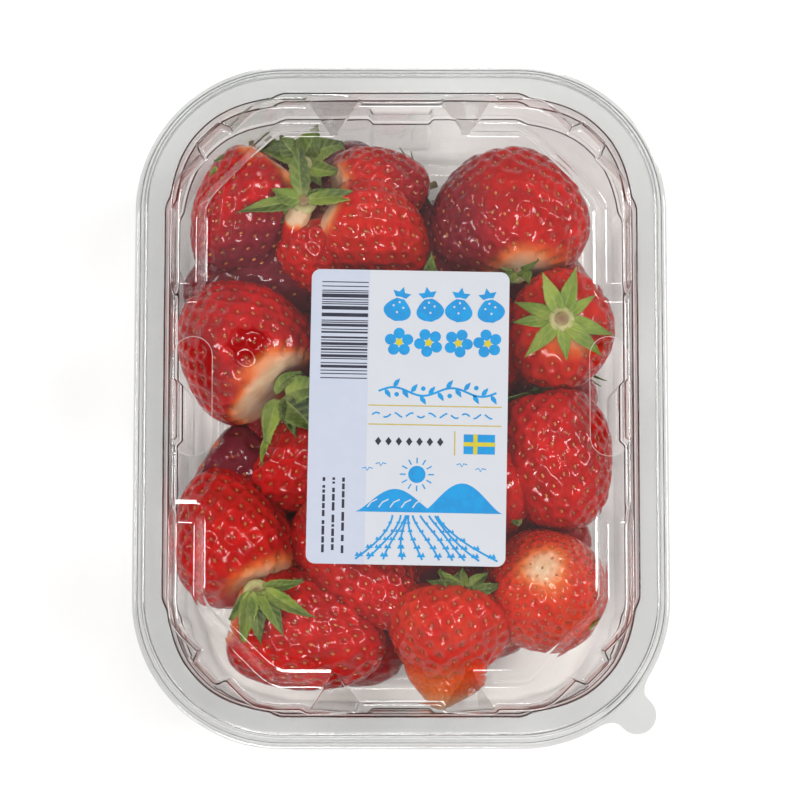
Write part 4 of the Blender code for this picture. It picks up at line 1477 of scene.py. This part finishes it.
# %% Draw the garland, the rules and the small flag
stem = [(-8.0 + 31.4 * step / 40, 6.9 + 1.1 * math.sin(step / 40 * 4 * math.pi)) for step in range(41)]
prints["blue"].append(band(stem, 0.55))
for number in range(13):
    u, v = stem[2 + number * 3]
    side = 1 if number % 2 else -1
    blade = [(0.0, 0.0), (0.62, 1.1), (0.35, 2.2), (0.0, 2.9), (-0.62, 1.7), (-0.55, 0.8)]
    prints["blue"].append(spun(blade, -35 if side > 0 else 215, u, v, 1.02))
    if number % 3 == 1:
        prints["blue"].append(arc(u + 0.9, v - side * 1.9, 0.62, 0, 360, 12)[:-1])
for height in (3.05, -2.05):
    prints["ochre"].append(block(-10.6, height - 0.14, 24.8, height + 0.14))
wave = [(-9.6 + 33.0 * step / 66, 0.5 + 0.62 * math.sin(step / 66 * 14 * math.pi)) for step in range(67)]
for start in range(0, 66, 6):
    prints["blue"].append(band(wave[start:start + 5], 0.42))
for number in range(7):
    left = -8.7 + number * 2.75
    prints["dark"].append([(left, -6.6), (left + 0.85, -7.75), (left + 1.7, -6.6), (left + 0.85, -5.45)])
prints["ochre"].append(block(12.35, -10.1, 12.65, -3.6))
prints["blue"].append(block(14.9, -9.7, 23.2, -4.4))
prints["yellow"] += [block(17.45, -9.72, 18.55, -4.38), block(14.88, -7.6, 23.22, -6.5)]
print("ochre and yellow shapes:", len(prints["ochre"]), len(prints["yellow"]))

# %% [markdown]
# The foot of the label holds a plain scene in blue: a sun over hills, and planted rows that run forward.
# A few white strokes lighten the left hill.

# %% Draw the field, the hills and the sun
LOW_EDGE, HORIZON = -38.3, -25.6


def hill(left, right, foot, top, steps=24):
    """A hill's outline from foot to foot, its flanks as half a wave."""
    shares = [step / steps for step in range(steps + 1)]
    return [(left + (right - left) * t, foot + (top - foot) * math.sin(math.pi * t) ** 1.4) for t in shares]


prints["blue"].append(hill(-13.6, 7.5, HORIZON, -19.4))
prints["blue"].append(hill(4.0, 25.4, HORIZON, -17.6))
for number in range(5):
    u = -10.4 + number * 3.0
    line = [(u, HORIZON + 1.2), (u + 1.0, HORIZON + 2.6), (u + 2.6, HORIZON + 3.4)]
    prints["white"].append(band(line, 0.34))
prints["blue"].append(arc(2.6, -15.4, 2.3, 0, 360, 24)[:-1])
for number in range(12):
    prints["blue"].append(spun(block(3.0, -0.17, 4.5, 0.17), number * 30, 2.6, -15.4))
for number in range(10):
    foot = -13.4 + number * 4.25
    head = 2.0 + (foot - 5.5) * 0.30
    curve = [(head + (foot - head) * t ** 1.25 + 1.1 * math.sin(3.1 * t + number),
              HORIZON - 0.8 + (LOW_EDGE - HORIZON + 0.8) * t) for t in [step / 16 for step in range(17)]]
    curve = [(min(max(u, -13.8), 25.3), v) for u, v in curve]
    prints["blue"].append(band(curve, 0.5))
    for step in (3, 6, 9, 12, 15):
        u, v = curve[step]
        size = 0.35 + 0.045 * step
        if -13.0 < u < 24.6:
            tuft = [(-1.1, 0.0), (-0.5, 1.2), (0.0, 0.5), (0.5, 1.3), (1.1, 0.0)]
            prints["blue"].append(spun(tuft, 0, u, v, size))
for u, v in ((-10.6, -14.6), (-7.0, -13.3), (14.5, -13.2), (19.5, -14.4)):
    bird = [(u - 1.4, v + 0.6), (u - 0.5, v + 0.9), (u, v), (u + 0.5, v + 0.9), (u + 1.4, v + 0.6)]
    prints["blue"].append(band(bird, 0.26))
print("blue shapes:", len(prints["blue"]))

# %% [markdown]
# Each ink is laid over the paper at its own height: the lilac edge lowest, then blue, ochre and dark, and the
# white and yellow marks on top of those.

# %% Make the paper and ink materials, then lay the label down
INKS = {
    # ink: its two colours, and its layer above the paper
    "blue": ((0.008, 0.30, 0.66), (0.012, 0.26, 0.60), 1),
    "ochre": ((0.56, 0.42, 0.05), (0.50, 0.38, 0.04), 1),
    "dark": ((0.022, 0.022, 0.040), (0.032, 0.032, 0.050), 1),
    "yellow": ((0.62, 0.52, 0.03), (0.56, 0.48, 0.03), 2),
    "lilac": ((0.535, 0.57, 0.67), (0.52, 0.56, 0.66), 0),
    "white": ((0.58, 0.60, 0.65), (0.56, 0.58, 0.63), 2),
}
paper, tree, shader = start_material("label_paper", rough=0.42)
paint_mottled(tree, shader, (0.60, 0.62, 0.66), (0.59, 0.61, 0.65), 90.0)
use_relief(tree, shader, 900.0, 0.05, 0.0001)
top = LABEL_BASE + PAPER
sheet_outline = round_block(-half_wide, -half_tall, half_wide, half_tall, LABEL_ROUND)
sheet = film("label_paper", [sheet_outline], paper, LABEL_BASE, top)
for ink, (first, second, layer) in INKS.items():
    paint, tree, shader = start_material("ink_" + ink, rough=0.38)
    paint_mottled(tree, shader, first, second, 400.0)
    film("print_" + ink, prints[ink], paint, top + layer * INK, top + (layer + 1) * INK)
print("inks:", len(INKS))

# %% [markdown]
# ## Finish
# The last step counts the triangles of every mesh that is rendered, and prints each count and the total.

# %% Count the triangles and finish
graph = bpy.context.evaluated_depsgraph_get()
total = 0
for made in bpy.data.objects:
    if made.type == "MESH" and not made.hide_render:
        mesh = made.evaluated_get(graph).data
        count = sum(len(face.vertices) - 2 for face in mesh.polygons)
        total += count
        print(made.name, count)
print("triangles in all:", total)
